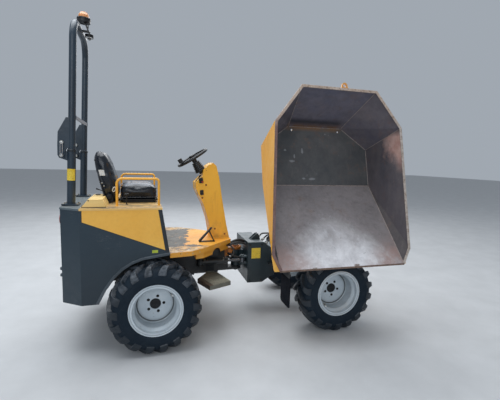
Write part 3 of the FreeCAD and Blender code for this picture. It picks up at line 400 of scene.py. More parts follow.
# worn steel of the steps: dusty on top, brown at the rear edge; painted shade on the front and side faces, towards the
# machine and on the parts above the tread
def tread_plate():
    k = Mat("step_worn_steel")
    c = k.mix(k.ramp(k.noise(14.0, 6.0, 0.7), 0.3, 0.7), lin(136, 136, 122), lin(166, 163, 148))
    c = k.mix(k.ramp(k.noise(40.0, 5.0, 0.7), 0.55, 0.72, 0.0, 0.6), c, lin(96, 84, 70))
    nx, ny, nz = k.xyz(k.nrm)
    c = k.mix(k.ramp(nx, -0.75, -0.88, 0.0, 0.9), c, k.mix(k.ramp(k.noise(28.0, 5.0), 0.35, 0.65), lin(50, 38, 32), lin(92, 68, 54)))
    # painted shade: the front faces and the side faces darker
    c = k.mix(k.ramp(nx, 0.75, 0.88, 0.0, 0.85), c, lin(52, 50, 48))
    c = k.mix(k.mul(k.ramp(k.math("ABSOLUTE", ny), 0.85, 0.90), 0.6), c, lin(78, 76, 68))
    c = k.mix(k.mul(k.ramp(nz, 0.85, 0.95), k.ramp(k.noise(9.0, 5.0), 0.3, 0.6, 0.4, 1.0), 0.7), c, lin(176, 174, 156))
    # painted shade: darker towards the machine, under the body
    c = k.mix(k.ramp(k.math("ABSOLUTE", k.math("SUBTRACT", k.xyz(k.obj)[1], M(0, 0, 0).y)), 0.36, 0.20, 0.0, 0.45), c, lin(60, 62, 60))
    x, y, z = k.xyz(k.obj)
    m = k.math("MULTIPLY", k.math("ABSOLUTE", k.math("SUBTRACT", y, 0.151)), -1.0)
    rear = k.math("ADD", k.mul(k.math("ADD", x, 0.292), 0.943), k.mul(k.math("ADD", m, 0.300), 0.332))
    out = k.math("ADD", k.mul(k.math("ADD", x, 0.217), -0.389), k.mul(k.math("ADD", m, 0.513), 0.921))
    c = k.mix(k.mul(k.ramp(k.math("SINE", k.mul(out, 224.0)), -0.1, 0.5), k.ramp(nz, 0.8, 0.9), 0.55), c, lin(78, 74, 66))
    c = k.mix(k.mul(k.ramp(k.math("ADD", rear, k.mul(k.noise(30.0, 5.0, 0.7), 0.014)), 0.052, 0.046), k.ramp(nz, 0.8, 0.9)), c,
              k.mix(k.ramp(k.noise(26.0, 5.0), 0.35, 0.65), lin(58, 44, 36), lin(96, 76, 62)))
    # painted shade: the parts above the tread nearly black
    c = k.mix(k.ramp(z, 0.484, 0.490), c, lin(26, 30, 34))
    return k.done(c, k.ramp(k.noise(20.0), 0.3, 0.7, 0.5, 0.7), 0.25, k.bump(k.noise(90.0, 5.0, 0.7), 0.5, 0.0018))
step_mat = tread_plate()

# amber lens with moulded ribs
k = Mat("amber_lens")
rib = k.math("SINE", k.mul(k.math("ARCTAN2", k.math("SUBTRACT", k.xyz(k.obj)[1], P(34, -40, 0).y), k.math("SUBTRACT", k.xyz(k.obj)[0], P(34, 0, 1550).x)), 36.0))
c = k.mix(k.ramp(k.noise(14.0, 4.0), 0.3, 0.7), lin(234, 140, 70), lin(244, 166, 98))
amber = k.done(c, k.ramp(k.noise(40.0), 0.3, 0.7, 0.18, 0.3), 0.0, k.bump(rib, 0.35, 0.002), coat=0.4)
k = Mat("lamp_lens")
grid = k.voronoi(160.0)
clear = k.done(k.mix(k.ramp(k.noise(30.0), 0.3, 0.7), lin(196, 200, 202), lin(226, 228, 228)), k.ramp(grid, 0.0, 0.8, 0.08, 0.22), 0.0, k.bump(grid, 0.4, 0.002), coat=0.5)

def label(name, c1, c2):
    k = Mat(name)
    c = k.mix(k.ramp(k.noise(24.0, 5.0), 0.3, 0.7), c1, c2)
    c = k.mix(k.mul(k.ramp(k.noise(90.0, 4.0, 0.7), 0.56, 0.66), 0.55), c, lin(110, 100, 84))
    return k.done(c, k.ramp(k.noise(50.0), 0.3, 0.7, 0.32, 0.5), 0.0, k.bump(k.noise(200.0), 0.1, 0.0005))
label_yellow = label("label_yellow", lin(226, 190, 44), lin(236, 206, 76))
label_white = label("label_white", lin(206, 206, 204), lin(226, 226, 222))
label_green = label("label_lime", lin(160, 176, 40), lin(190, 200, 70))
red_plastic = rubber("red_plastic", lin(150, 26, 20), lin(186, 44, 30), dust=0.1, scale=3.0, rough=(0.3, 0.45))

# ---- skip: yellow outside, scoured and rusty inside, brown rim
def skip_paint(name, rim_only=False):
    k = Mat(name)
    loc = k.mapped(k.obj, loc=(FX / 1000, FY / 1000, 0), rot=(0, 0, STEER), kind="TEXTURE")
    nl = k.mapped(k.nrm, rot=(0, 0, STEER), kind="TEXTURE")
    lx, ly, lz = k.xyz(loc)
    u = k.math("ADD", lx, 0.110)
    p = k.mul(ly, -1.0)
    flow = k.mapped(loc, scale=(1.0, 1.0, 0.22))
    nu = k.xyz(nl)[0]
    def face(n, lo=0.965, hi=0.985):
        return k.ramp(k.dot(nl, n), lo, hi)
    ramp_f = face((0.0, -0.745, 0.668)); floor_f = face((0.0, -0.971, 0.238))
    roof_f = k.ramp(k.xyz(nl)[2], -0.45, -0.60)
    right_f = k.ramp(nu, -0.80, -0.90)
    def band(v, at, half, soft):
        d = k.math("ABSOLUTE", k.math("SUBTRACT", v, at))
        return k.ramp(d, half, half + soft, 1.0, 0.0)
    def two(c1, c2, scale=4.0, detail=6.0, vec=None):
        return k.mix(k.ramp(k.noise(scale, detail, 0.65, vec if vec is not None else loc), 0.35, 0.65), c1, c2)
    # worn steel inside, a tone for each sheet: painted light and shade, the ramp painted lighter, the floor, the right
    # wall and the cheeks painted darker, the roof and the upper faces a bluish grey
    a = two(lin(92, 88, 92), lin(120, 112, 112), 3.4)
    a = k.mix(floor_f, a, two(lin(74, 76, 78), lin(98, 96, 95), 2.8))
    a = k.mix(roof_f, a, two(lin(100, 101, 118), lin(126, 120, 128), 3.6))
    a = k.mix(right_f, a, two(lin(86, 84, 92), lin(116, 108, 110), 3.0, 6.0, flow))
    cheek_f = k.mul(k.ramp(k.math("ABSOLUTE", nu), 0.60, 0.70), k.ramp(k.math("ABSOLUTE", nu), 0.80, 0.77), k.ramp(lz, 1.45, 1.40))
    a = k.mix(cheek_f, a, two(lin(72, 66, 68), lin(92, 84, 84), 3.0))
    upper_f = k.mul(k.ramp(k.math("ABSOLUTE", nu), 0.30, 0.40), k.ramp(k.math("ABSOLUTE", nu), 0.88, 0.80), k.ramp(lz, 1.60, 1.68))
    a = k.mix(upper_f, a, two(lin(94, 92, 104), lin(122, 114, 118), 3.2))
    a = k.mix(ramp_f, a, two(lin(136, 129, 129), lin(158, 149, 148), 3.2))
    a = k.mix(k.ramp(k.noise(13.0, 8.0, 0.72, loc, 0.3), 0.45, 0.75, 0.0, 0.45), a, lin(66, 63, 66))
    streak = k.ramp(k.noise(17.0, 6.0, 0.65, flow, 0.2), 0.55, 0.8, 0.0, 0.30)
    a = k.mix(streak, a, lin(140, 130, 126))
    rough_rust = k.mul(k.ramp(k.noise(8.0, 8.0, 0.75, k.mapped(loc, loc=(5, 1, 3))), 0.55, 0.68), k.ramp(k.noise(1.9, 2.0, 0.5, loc), 0.36, 0.56), 0.50)
    a = k.mix(rough_rust, a, lin(130, 96, 78))
    # rusty line under the fold, light scratches on the floor
    fold = k.mul(band(lz, 1.925, 0.010, 0.035), k.ramp(u, 0.30, 0.22), k.ramp(u, -0.34, -0.28), k.ramp(k.noise(14.0, 6.0, 0.7, loc), 0.28, 0.52))
    a = k.mix(k.mul(fold, 0.9), a, lin(124, 92, 64))
    # painted shade: a nearly black band along the down-facing roof sheet
    under = k.mul(band(lz, 1.972, 0.004, 0.03), roof_f, k.ramp(u, 0.3, 0.2), 0.7)
    a = k.mix(under, a, lin(30, 28, 30))
    scr = k.mul(floor_f, k.scratches(11.0, 0.05, loc), k.ramp(u, 0.05, -0.2), k.ramp(lz, 1.84, 1.78), 0.9)
    a = k.mix(scr, a, lin(132, 130, 128))
    spot = k.mul(floor_f, k.ramp(k.noise(19.0, 4.0, 0.6, k.mapped(loc, loc=(2, 8, 1))), 0.66, 0.70), k.ramp(u, 0.1, -0.15), k.ramp(lz, 1.75, 1.6), 0.55)
    a = k.mix(spot, a, lin(124, 122, 122))
    for su, sz, ru, rz in ((-0.151, 1.691, 0.012, 0.030), (-0.262, 1.591, 0.030, 0.014), (-0.329, 1.695, 0.014, 0.010), (-0.062, 1.423, 0.040, 0.013), (-0.236, 1.640, 0.010, 0.024), (-0.150, 1.425, 0.020, 0.010)):
        eu = k.math("DIVIDE", k.math("SUBTRACT", u, su), ru); ez = k.math("DIVIDE", k.math("SUBTRACT", lz, sz), rz)
        rad = k.math("ADD", k.math("ADD", k.mul(eu, eu), k.mul(ez, ez)), k.ramp(k.noise(60.0, 5.0, 0.7, loc), 0.2, 0.8, -0.9, 0.9))
        a = k.mix(k.mul(floor_f, k.ramp(rad, 1.0, 0.4), 0.6), a, lin(158, 158, 160))
    # rusty corner high on the side sheets, towards the mouth
    au = k.math("ABSOLUTE", u)
    cw = k.math("ADD", k.math("ADD", k.mul(k.math("SUBTRACT", lz, 1.70), 1.0), k.mul(k.math("SUBTRACT", p, 0.57), 1.6)), k.ramp(k.noise(6.5, 7.0, 0.72, loc), 0.2, 0.8, -0.16, 0.16))
    corner = k.mul(k.ramp(k.math("ABSOLUTE", nu), 0.80, 0.90), k.ramp(cw, -0.02, 0.16), k.ramp(lz, 1.90, 1.84), k.ramp(lz, 1.50, 1.66))
    a = k.mix(k.mul(corner, 0.85), a, two(lin(204, 156, 142), lin(228, 192, 180), 11.0))
    # bright scoured patch on the ramp: narrow at the top, as wide as the lip at the bottom
    half = k.math("ADD", 0.10, k.mul(k.math("SUBTRACT", 1.15, lz), 1.02))
    ed = k.math("SUBTRACT", half, k.math("ABSOLUTE", k.math("SUBTRACT", u, -0.01)))
    wob = k.math("ADD", ed, k.ramp(k.noise(5.0, 8.0, 0.7, loc, 0.4), 0.2, 0.8, -0.13, 0.13))
    patch = k.mul(ramp_f, k.ramp(wob, -0.06, 0.20), k.ramp(lz, 1.20, 1.02))
    tone = k.ramp(lz, 1.12, 0.80, 0.25, 1.0)
    pn = k.ramp(k.noise(7.5, 8.0, 0.72, k.mapped(loc, scale=(1.0, 1.0, 0.6)), 0.35), 0.30, 0.62, 0.45, 1.0)
    a = k.mix(k.mul(patch, tone, pn), a, lin(246, 243, 244))
    smear = k.mul(patch, k.ramp(k.noise(17.0, 7.0, 0.7, k.mapped(loc, scale=(1.0, 1.0, 0.6), rot=(0, 0.5, 0)), 0.6), 0.54, 0.70), 0.75)
    a = k.mix(smear, a, lin(222, 220, 222))
    pit = k.mul(ramp_f, k.ramp(k.noise(24.0, 4.0, 0.6, k.mapped(loc, loc=(4, 4, 4))), 0.66, 0.72), k.ramp(lz, 1.2, 1.1), 0.5)
    a = k.mix(pit, a, lin(92, 88, 90))
    lowc = k.mul(ramp_f, k.ramp(k.math("ADD", lz, k.mul(au, -0.75)), 0.62, 0.44), k.ramp(lz, 0.98, 0.80), k.ramp(k.noise(9.0, 6.0, 0.7, loc), 0.3, 0.55), 0.8)
    a = k.mix(lowc, a, lin(168, 138, 130))
    # splashes of dried concrete
    sp = k.mul(k.ramp(k.noise(26.0, 3.0, 0.5, k.mapped(loc, loc=(1, 4, 9))), 0.70, 0.73), k.ramp(k.noise(3.4, 2.0, 0.5, loc), 0.5, 0.6))
    a = k.mix(k.mul(sp, 0.5), a, lin(150, 146, 144))
    # weld lines
    weld = k.mul(band(lz, 1.360, 0.003, 0.004), k.ramp(au, 0.56, 0.565, 1.0, 0.0))
    a = k.mix(k.mul(weld, 0.8), a, lin(140, 124, 118))
    # outside: yellow with grime
    c, r, h = paint_into(k, lin(237, 166, 44), lin(245, 182, 74), chips=0.6, dust=0.15, low=0.7, high=1.2, chip_under=lin(120, 80, 48))
    run = k.mul(k.ramp(k.noise(16.0, 5.0, 0.6, flow), 0.55, 0.75), 0.35)
    c = k.mix(run, c, lin(180, 120, 50))
    mid = k.sub(loc, (SLEW_X / 1000, -0.650, 1.450))
    inside = k.ramp(k.dot(nl, mid), -0.001, 0.001, 1.0, 0.0)
    rimface = k.mul(k.ramp(k.dot(nl, (0.0, -0.9867, 0.1623)), 0.9, 0.96), k.ramp(k.dot(loc, (0.0, -0.9867, 0.1623)), 1.036, 1.040))
    edge = k.mix(k.ramp(k.noise(30.0, 6.0, 0.7, loc), 0.35, 0.65), lin(96, 76, 66), lin(136, 112, 96))
    col = k.mix(inside, c, a)
    col = k.mix(rimface, col, edge)
    rr = k.mix(inside, r, k.math("SUBTRACT", k.ramp(k.noise(15.0, 6.0, 0.7, loc), 0.3, 0.7, 0.46, 0.68), k.mul(patch, 0.12)))
    met = k.mul(inside, k.math("ADD", 0.12, k.mul(patch, 0.2)))
    hi = k.math("ADD", k.mul(k.noise(70.0, 7.0, 0.7, loc), 1.2), k.math("ADD", k.mul(k.noise(5.0, 3.0, 0.5, loc), 2.5), k.math("ADD", weld, k.mul(sp, 0.5))))
    hh = k.mix(inside, h, hi)
    return k.done(col, rr, met, k.bump(hh, 0.4, 0.003))
skip_mat = skip_paint("skip_steel")

def rusty(name, c1, c2, c3):
    k = Mat(name)
    c = k.mix(k.ramp(k.noise(12.0, 6.0, 0.7), 0.3, 0.7), c1, c2)
    c = k.mix(k.ramp(k.noise(45.0, 5.0, 0.7), 0.5, 0.68, 0.0, 0.8), c, c3)
    return k.done(c, k.ramp(k.noise(30.0), 0.3, 0.7, 0.5, 0.7), 0.3, k.bump(k.noise(130.0, 6.0, 0.7), 0.5, 0.0015))
k = Mat("skip_rim_rusty")
c = k.mix(k.ramp(k.noise(12.0, 6.0, 0.7), 0.3, 0.7), lin(176, 152, 134), lin(206, 188, 172))
loc = k.mapped(k.obj, loc=(FX / 1000, FY / 1000, 0), rot=(0, 0, STEER), kind="TEXTURE")
lx, ly, lz = k.xyz(loc)
c = k.mix(k.mul(k.ramp(lx, -0.60, -0.66), k.ramp(lz, 1.96, 1.86)), c, k.mix(k.ramp(k.noise(20.0, 6.0, 0.7), 0.35, 0.65), lin(104, 80, 80), lin(138, 112, 106)))
c = k.mix(k.mul(k.ramp(lx, 0.40, 0.46), 0.8), c, k.mix(k.ramp(k.noise(20.0, 6.0, 0.7), 0.4, 0.6), lin(168, 156, 146), lin(200, 190, 182)))
c = k.mix(k.ramp(k.noise(45.0, 5.0, 0.7), 0.5, 0.68, 0.0, 0.75), c, lin(120, 90, 74))
rim_bar_mat = k.done(c, k.ramp(k.noise(30.0), 0.3, 0.7, 0.5, 0.7), 0.2, k.bump(k.noise(130.0, 6.0, 0.7), 0.5, 0.0015))
rusty_bolt = rusty("rusty_bolt", lin(120, 66, 36), lin(150, 88, 48), lin(84, 48, 32))
weld_mat = rusty("weld_seam", lin(156, 144, 138), lin(186, 172, 164), lin(118, 98, 88))

# CAD nodes and their materials
LOOK = {
    "rear_axle": cast_mat, "front_axle": cast_mat, "rear_chassis": rear_chassis_mat, "engine_block": cast_mat,
    "side_panel_right": side_mat, "side_panel_left": side_mat, "rear_panel": slate, "deck_plate": deck_mat, "front_bulkhead": chassis,
    "rear_hood": yellow_faded, "footplate": foot_mat, "steering_pedestal": pedestal_mat, "foot_pedal": plastic, "steps": step_mat,
    "tow_jaw": slate, "seat_mount": chassis, "guard_rail_right": yellow_rail, "guard_rail_left": yellow_rail,
    "rops_posts": slate_bar, "rops_hoop": hoop_mat, "beacon_stand": plastic, "beacon_dome": amber, "work_lamp": plastic,
    "steering_wheel": plastic, "steering_shaft": plastic, "steering_ram_barrel": chassis, "steering_ram_rod": greasy_rod,
    "front_chassis": slate_front, "front_hoses": hose_mat, "mudflaps": flap_mat, "flap_brackets": chassis, "turntable_frame": chassis,
    "tip_ram_barrel": chassis, "tip_ram_rod": chrome, "skip_shell": skip_mat, "skip_brackets": yellow, "lifting_eye": eye_paint,
}
for n, o in NODE.items():
    m = LOOK.get(n) or (rim_rear if n.startswith("rim_rear") else rim_front if n.startswith("rim_front") else None)
    if m:
        o.data.materials.clear(); o.data.materials.append(m)

# ------------------------------------------------------------------ mesh helpers
def new(name, verts, faces, mat, body, smooth=False, slot=None, bevel=0.0, seg=2, fix=True):
    me = bpy.data.meshes.new(name)
    me.from_pydata([tuple(v) for v in verts], [], faces)
    if fix:
        bm = bmesh.new(); bm.from_mesh(me)
        bmesh.ops.recalc_face_normals(bm, faces=bm.faces)
        bm.to_mesh(me); bm.free()
    o = bpy.data.objects.new(name, me)
    COLL.objects.link(o)
    me.materials.append(mat)
    if smooth:
        me.polygons.foreach_set("use_smooth", [True] * len(me.polygons))
    if bevel:
        b = o.modifiers.new("bevel", "BEVEL"); b.width = bevel; b.segments = seg; b.limit_method = "ANGLE"; b.angle_limit = math.radians(35)
    if body:
        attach(o, body)
    return o

class Geo:
    """Collects several closed forms into one mesh."""
    def __init__(self): self.v, self.f = [], []
    def add(self, v, f):
        n = len(self.v); self.v += [Vector(p) for p in v]; self.f += [tuple(i + n for i in q) for q in f]
    def box(self, c, ax, ay, az):
        """Centre and three half-axis vectors."""
        c, ax, ay, az = Vector(c), Vector(ax), Vector(ay), Vector(az)
        v = [c + ax * i + ay * j + az * k for i in (-1, 1) for j in (-1, 1) for k in (-1, 1)]
        self.add(v, [(0, 1, 3, 2), (4, 6, 7, 5), (0, 4, 5, 1), (2, 3, 7, 6), (0, 2, 6, 4), (1, 5, 7, 3)])
    def ring(self, c, axis, prof, n=24, start=0.0):
        """Turned form: prof is (along, radius) from one end to the other; radius 0 ends are closed fans."""
        c, a = Vector(c), Vector(axis).normalized()
        t = a.orthogonal().normalized(); b = a.cross(t)
        v, f, rows = [], [], []
        for s, r in prof:
            if r < 1e-7:
                rows.append([len(v)]); v.append(c + a * s)
            else:
                rows.append(list(range(len(v), len(v) + n)))
                for i in range(n):
                    w = start + 2 * math.pi * i / n
                    v.append(c + a * s + (t * math.cos(w) + b * math.sin(w)) * r)
        for p, q in zip(rows, rows[1:]):
            for i in range(n):
                j = (i + 1) % n
                if len(p) == 1 and len(q) == 1: continue
                if len(p) == 1: f.append((p[0], q[i], q[j]))
                elif len(q) == 1: f.append((p[i], q[0], p[j]))
                else: f.append((p[i], q[i], q[j], p[j]))
        self.add(v, f)
    def bolt(self, c, axis, r=0.009, h=0.006, washer=True):
        prof = []
        if washer:
            self.ring(c, axis, [(0, 0), (0, r * 1.55), (0.0016, r * 1.55), (0.0016, 0)], 20)
        self.ring(c, axis, [(0.0012, 0), (0.0012, r), (h, r), (h + 0.0012, r * 0.86), (h + 0.0012, 0)], 6, rnd.random())
    def tube(self, pts, r, n=12, closed=False, caps=True):
        pts = [Vector(p) for p in pts]
        m = len(pts); v, f = [], []
        tan = []
        for i in range(m):
            a = pts[(i - 1) % m] if (closed or i > 0) else pts[i]
            b = pts[(i + 1) % m] if (closed or i < m - 1) else pts[i]
            tan.append((b - a).normalized())
        nrm = tan[0].orthogonal().normalized()
        for i in range(m):
            nrm = (nrm - tan[i] * nrm.dot(tan[i])).normalized()
            b = tan[i].cross(nrm)
            rr = r[i] if isinstance(r, (list, tuple)) else r
            for k2 in range(n):
                w = 2 * math.pi * k2 / n
                v.append(pts[i] + (nrm * math.cos(w) + b * math.sin(w)) * rr)
        for i in range(m if closed else m - 1):
            j = (i + 1) % m
            for k2 in range(n):
                q = (k2 + 1) % n
                f.append((i * n + k2, i * n + q, j * n + q, j * n + k2))
        if caps and not closed:
            f.append(tuple(range(n))[::-1]); f.append(tuple((m - 1) * n + q for q in range(n)))
        self.add(v, f)
    def make(self, name, mat, body, **kw):
        return new(name, self.v, self.f, mat, body, **kw)

def plate(g, pts, y0, y1, fr=None):
    """Flat plate: outline in X-Z, between two Y values (machine or front frame)."""
    fr = fr or M; n = len(pts)
    g.add([fr(x, y0, z) for x, z in pts] + [fr(x, y1, z) for x, z in pts],
          [tuple(range(n)), tuple(range(2 * n - 1, n - 1, -1))] + [(i, (i + 1) % n, n + (i + 1) % n, n + i) for i in range(n)])

def arc_pts(c, r, a0, a1, n, ax, ay):
    return [Vector(c) + Vector(ax) * (r * math.cos(a0 + (a1 - a0) * i / n)) + Vector(ay) * (r * math.sin(a0 + (a1 - a0) * i / n)) for i in range(n + 1)]

def smooth_path(pts, n=8):
    """Catmull-Rom through the points."""
    P_ = [Vector(p) for p in pts]
    P_ = [P_[0] * 2 - P_[1]] + P_ + [P_[-1] * 2 - P_[-2]]
    out = []
    for i in range(1, len(P_) - 2):
        p0, p1, p2, p3 = P_[i - 1:i + 3]
        for s in range(n):
            t = s / n
            out.append(0.5 * ((2 * p1) + (p2 - p0) * t + (2 * p0 - 5 * p1 + 4 * p2 - p3) * t * t + (3 * p1 - p0 - 3 * p2 + p3) * t ** 3))
    out.append(P_[-2])
    return out

# ------------------------------------------------------------------ wheels
HT, WR, AZ = 560.0, 376.0, 376.0
# carcass: w across (+ towards the machine), radius
CARCASS = [(112, 214), (118, 215), (126, 222), (129, 232), (131, 250), (131.6, 266), (130.5, 282), (128, 296), (123.5, 309), (117, 320), (108, 330),
           (97, 337), (84, 341), (60, 344.5), (30, 346), (0, 346.5)]
CARCASS = CARCASS + [(-w, r) for w, r in reversed(CARCASS[:-1])]
# lug: sweep angle (rad), base (w, r), top (w, r), half width at base and top
LUG = [(0.020, (-9, 338), (-9, 366), 21, 15), (0.0, (6, 339), (6, 374), 23, 16), (-0.070, (34, 339), (34, 376), 23, 16),
       (-0.145, (62, 337), (62, 375), 23, 16), (-0.205, (84, 334), (86, 372), 25, 17.5), (-0.245, (98, 328), (104, 365), 28, 20),
       (-0.270, (107, 318), (118, 351), 31, 24), (-0.285, (115, 306), (127.5, 332), 33, 28), (-0.292, (120, 295), (132.5, 312), 34, 30),
       (-0.296, (124, 286), (132.5, 299), 33, 29)]
N_LUG = 18
# name, frame, side (+1 left), body, first stud angle, angle of the first outer lug, valve angle
WHEELS = [("rear_right", M, -1, "wheel_rear_right", 74, 4.4, 40), ("rear_left", M, 1, "wheel_rear_left", 20, 9.0, 120),
          ("front_right", F, -1, "wheel_front_right", 61, 15.75, 224), ("front_left", F, 1, "wheel_front_left", 40, 3.0, 300)]
for name, fr, side, body, stud, phase, valve in WHEELS:
    def at(w, r, a):
        """w towards the machine, radius, angle in the X-Z plane."""
        return fr(r * math.cos(a), side * (HT - w), AZ + r * math.sin(a))
    g = Geo()
    n = 96
    v, f = [], []
    rows = len(CARCASS)
    for i in range(n):
        for w, r in CARCASS:
            v.append(at(w, r, 2 * math.pi * i / n))
    for i in range(n):
        j = (i + 1) % n
        for q in range(rows - 1):
            f.append((i * rows + q, i * rows + q + 1, j * rows + q + 1, j * rows + q))
        f.append((i * rows + rows - 1, i * rows, j * rows, j * rows + rows - 1))
    carcass = new("tyre_body_" + name, v, f, tyre_mat, body, smooth=True, slot="tyre")
    # raised ribs and a rim-guard on both walls
    g = Geo()
    for s in (-1, 1):
        for wr, rr, t in ((128.5, 236, 2.2), (131.6, 262, 1.4), (131.2, 281, 1.4)):
            g.tube([at(s * (wr - 0.6), rr, 2 * math.pi * i / 72) for i in range(72)], t / 1000, 6, closed=True)
    g.make("tyre_ribs_" + name, tyre_mat, body, smooth=True, slot="tyre")
    g = Geo()
    for s in (-1, 1):
        for q in range(N_LUG):
            a0 = math.radians(phase) + 2 * math.pi * (q + (0.5 if s > 0 else 0.0)) / N_LUG
            vv, ff = [], []
            jit = rnd.uniform(-0.004, 0.004)
            for ph, (wb, rb), (wt, rt), hb, ht in LUG:
                # the middle of a lug leads: forward at the top
                a = a0 - (ph + jit)
                for (w_, r_, h_) in ((wb, rb, hb), (wt, rt, ht), (wt, rt, -ht), (wb, rb, -hb)):
                    vv.append(at(s * w_, r_, a + h_ / r_))
            m_ = len(LUG)
            for i in range(m_ - 1):
                for e in range(4):
                    e2 = (e + 1) % 4
                    ff.append((i * 4 + e, i * 4 + e2, (i + 1) * 4 + e2, (i + 1) * 4 + e))
            ff += [(3, 2, 1, 0), tuple((m_ - 1) * 4 + e for e in range(4))]
            g.add(vv, ff)
    tread = g.make("tyre_tread_" + name, lug_mat, body, slot="tyre", bevel=0.003, seg=2)
    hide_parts("tyre_" + name)
    # studs with their seats, dark hub in the bore, valve
    y_axis = fr(0, -1, 0) - fr(0, 0, 0)
    out = (fr(0, side, 0) - fr(0, 0, 0)).normalized()
    g = Geo(); hub = Geo(); seat = Geo()
    for q in range(5):
        a = math.radians(stud + 72 * q)
        c = at(30.0, 68, a)
        seat.ring(c, out, [(0.0, 0), (0.0, 0.0125), (0.0012, 0.0118), (0.0012, 0)], 20)
        g.ring(c, out, [(0.001, 0), (0.001, 0.0088), (0.008, 0.0088), (0.010, 0.0075), (0.010, 0.0045), (0.014, 0.0042), (0.015, 0.0034), (0.015, 0)], 6, a)
    hub.ring(at(36.0, 0, 0), out, [(0.0005, 0), (0.0005, 0.0445), (0.0030, 0.0445), (0.0030, 0.040), (0.0014, 0.038), (0.0014, 0.016), (0.004, 0.014), (0.005, 0.010), (0.005, 0)], 36)
    g.make("wheel_nuts_" + name, dark_steel, body, slot="cast")
    seat.make("nut_seats_" + name, hub_mat, body, slot="cast", smooth=False)
    hub.make("wheel_hub_" + name, hub_mat, body, slot="cast")
    a = math.radians(valve)
    g = Geo()
    g.tube(smooth_path([at(-52, 158, a), at(-70, 159, a), at(-90, 165, a)], 5), 0.0048, 10)
    g.tube([at(-66, 159.5, a), at(-74, 161, a)], 0.0085, 12)
    g.make("valve_" + name, zinc, body, smooth=True, slot="rim_silver")
    g = Geo()
    g.tube([at(-88, 164.4, a), at(-90, 165, a), at(-108, 170, a), at(-110, 170.6, a)], [0.0055, 0.0074, 0.0070, 0.0050], 14)
    g.make("valve_cap_" + name, label_white, body, smooth=True)
    g = Geo()
    g.tube([at(-119.6, 211.5, 2 * math.pi * i / 80) for i in range(80)], 0.0042, 10, closed=True)
    g.tube([at(-100.0, 189.6, 2 * math.pi * i / 80) for i in range(80)], 0.0020, 8, closed=True)
    g.make("rim_bead_" + name, rim_rear if name.startswith("rear") else rim_front, body, smooth=True, slot="rim_silver")

# ------------------------------------------------------------------ seat
def pad(name, cad, build, mat, cap, voxel=0.009, pressure=4.0, frames=18):
    """Cloth-inflated pad from a start form; the movement of each point is capped."""
    me = build()
    o = bpy.data.objects.new(name + "_tmp", me)
    COLL.objects.link(o)
    r = o.modifiers.new("remesh", "REMESH"); r.mode = "VOXEL"; r.voxel_size = voxel
    dg = bpy.context.evaluated_depsgraph_get(); dg.update()
    base = bpy.data.meshes.new_from_object(o.evaluated_get(dg))
    o.modifiers.clear(); o.data = base
    rest = [v.co.copy() for v in base.vertices]
    c = o.modifiers.new("cloth", "CLOTH"); s = c.settings
    s.quality = 6; s.mass = 0.4; s.tension_stiffness = 18; s.compression_stiffness = 18; s.shear_stiffness = 8; s.bending_stiffness = 3
    s.use_pressure = True; s.uniform_pressure_force = pressure; s.effector_weights.gravity = 0.0
    c.point_cache.frame_start = 1; c.point_cache.frame_end = frames
    sc = bpy.context.scene
    for fr_ in range(1, frames + 1):
        sc.frame_set(fr_)
    dg = bpy.context.evaluated_depsgraph_get()
    res = bpy.data.meshes.new_from_object(o.evaluated_get(dg))
    o.modifiers.clear()
    sc.frame_set(1)
    for v, a in zip(res.vertices, rest):
        d = v.co - a
        if d.length > cap:
            v.co = a + d.normalized() * cap
    o.data = res
    me2 = o.data
    for i in range(7):      # soften voxel steps
        bm = bmesh.new(); bm.from_mesh(me2)
        bmesh.ops.smooth_vert(bm, verts=bm.verts, factor=0.5, use_axis_x=True, use_axis_y=True, use_axis_z=True)
        bm.to_mesh(me2); bm.free()
    o.name = name
    me2.materials.clear(); me2.materials.append(mat)
    me2.polygons.foreach_set("use_smooth", [True] * len(me2.polygons))
    return o

def lofted(rows):
    """Mesh from closed rows of equal length, capped at both ends."""
    n = len(rows[0]); v = [p for r in rows for p in r]; f = []
    for i in range(len(rows) - 1):
        for q in range(n):
            w = (q + 1) % n
            f.append((i * n + q, i * n + w, (i + 1) * n + w, (i + 1) * n + q))
    f += [tuple(range(n))[::-1], tuple((len(rows) - 1) * n + q for q in range(n))]
    me = bpy.data.meshes.new("loft"); me.from_pydata([tuple(p) for p in v], [], f)
    bm = bmesh.new(); bm.from_mesh(me); bmesh.ops.recalc_face_normals(bm, faces=bm.faces); bm.to_mesh(me); bm.free()
    return me

def round_rect(x0, x1, y0, y1, r, n=6, pull=0.0):
    out = []
    for cx, cy, a0 in ((x1 - r, y1 - r, 0), (x0 + r, y1 - r, 90), (x0 + r, y0 + r, 180), (x1 - r, y0 + r, 270)):
        for i in range(n + 1):
            a = math.radians(a0 + 90 * i / n)
            out.append((cx + r * math.cos(a), cy + r * math.sin(a)))
    return out

def cushion_start():
    rows = []
    # z, inset, front drop
    for z, ins, r in ((1218, 22, 46), (1226, 12, 50), (1250, 8, 54), (1290, 8, 56), (1318, 10, 58), (1334, 24, 60), (1341, 48, 56)):
        rows.append([M(x, y, z - (max(0.0, (x + 60)) / 104) ** 2 * (26 if z > 1300 else 6) + (7 if z > 1300 else 0) * (1 - (y / 232) ** 2))
                     for x, y in round_rect(-286 + ins, 42 - ins, -234 + ins, 234 - ins, r)])
    return lofted(rows)
cushion = pad("seat_cushion_pad", "seat_cushion", cushion_start, vinyl_mat, 0.013)

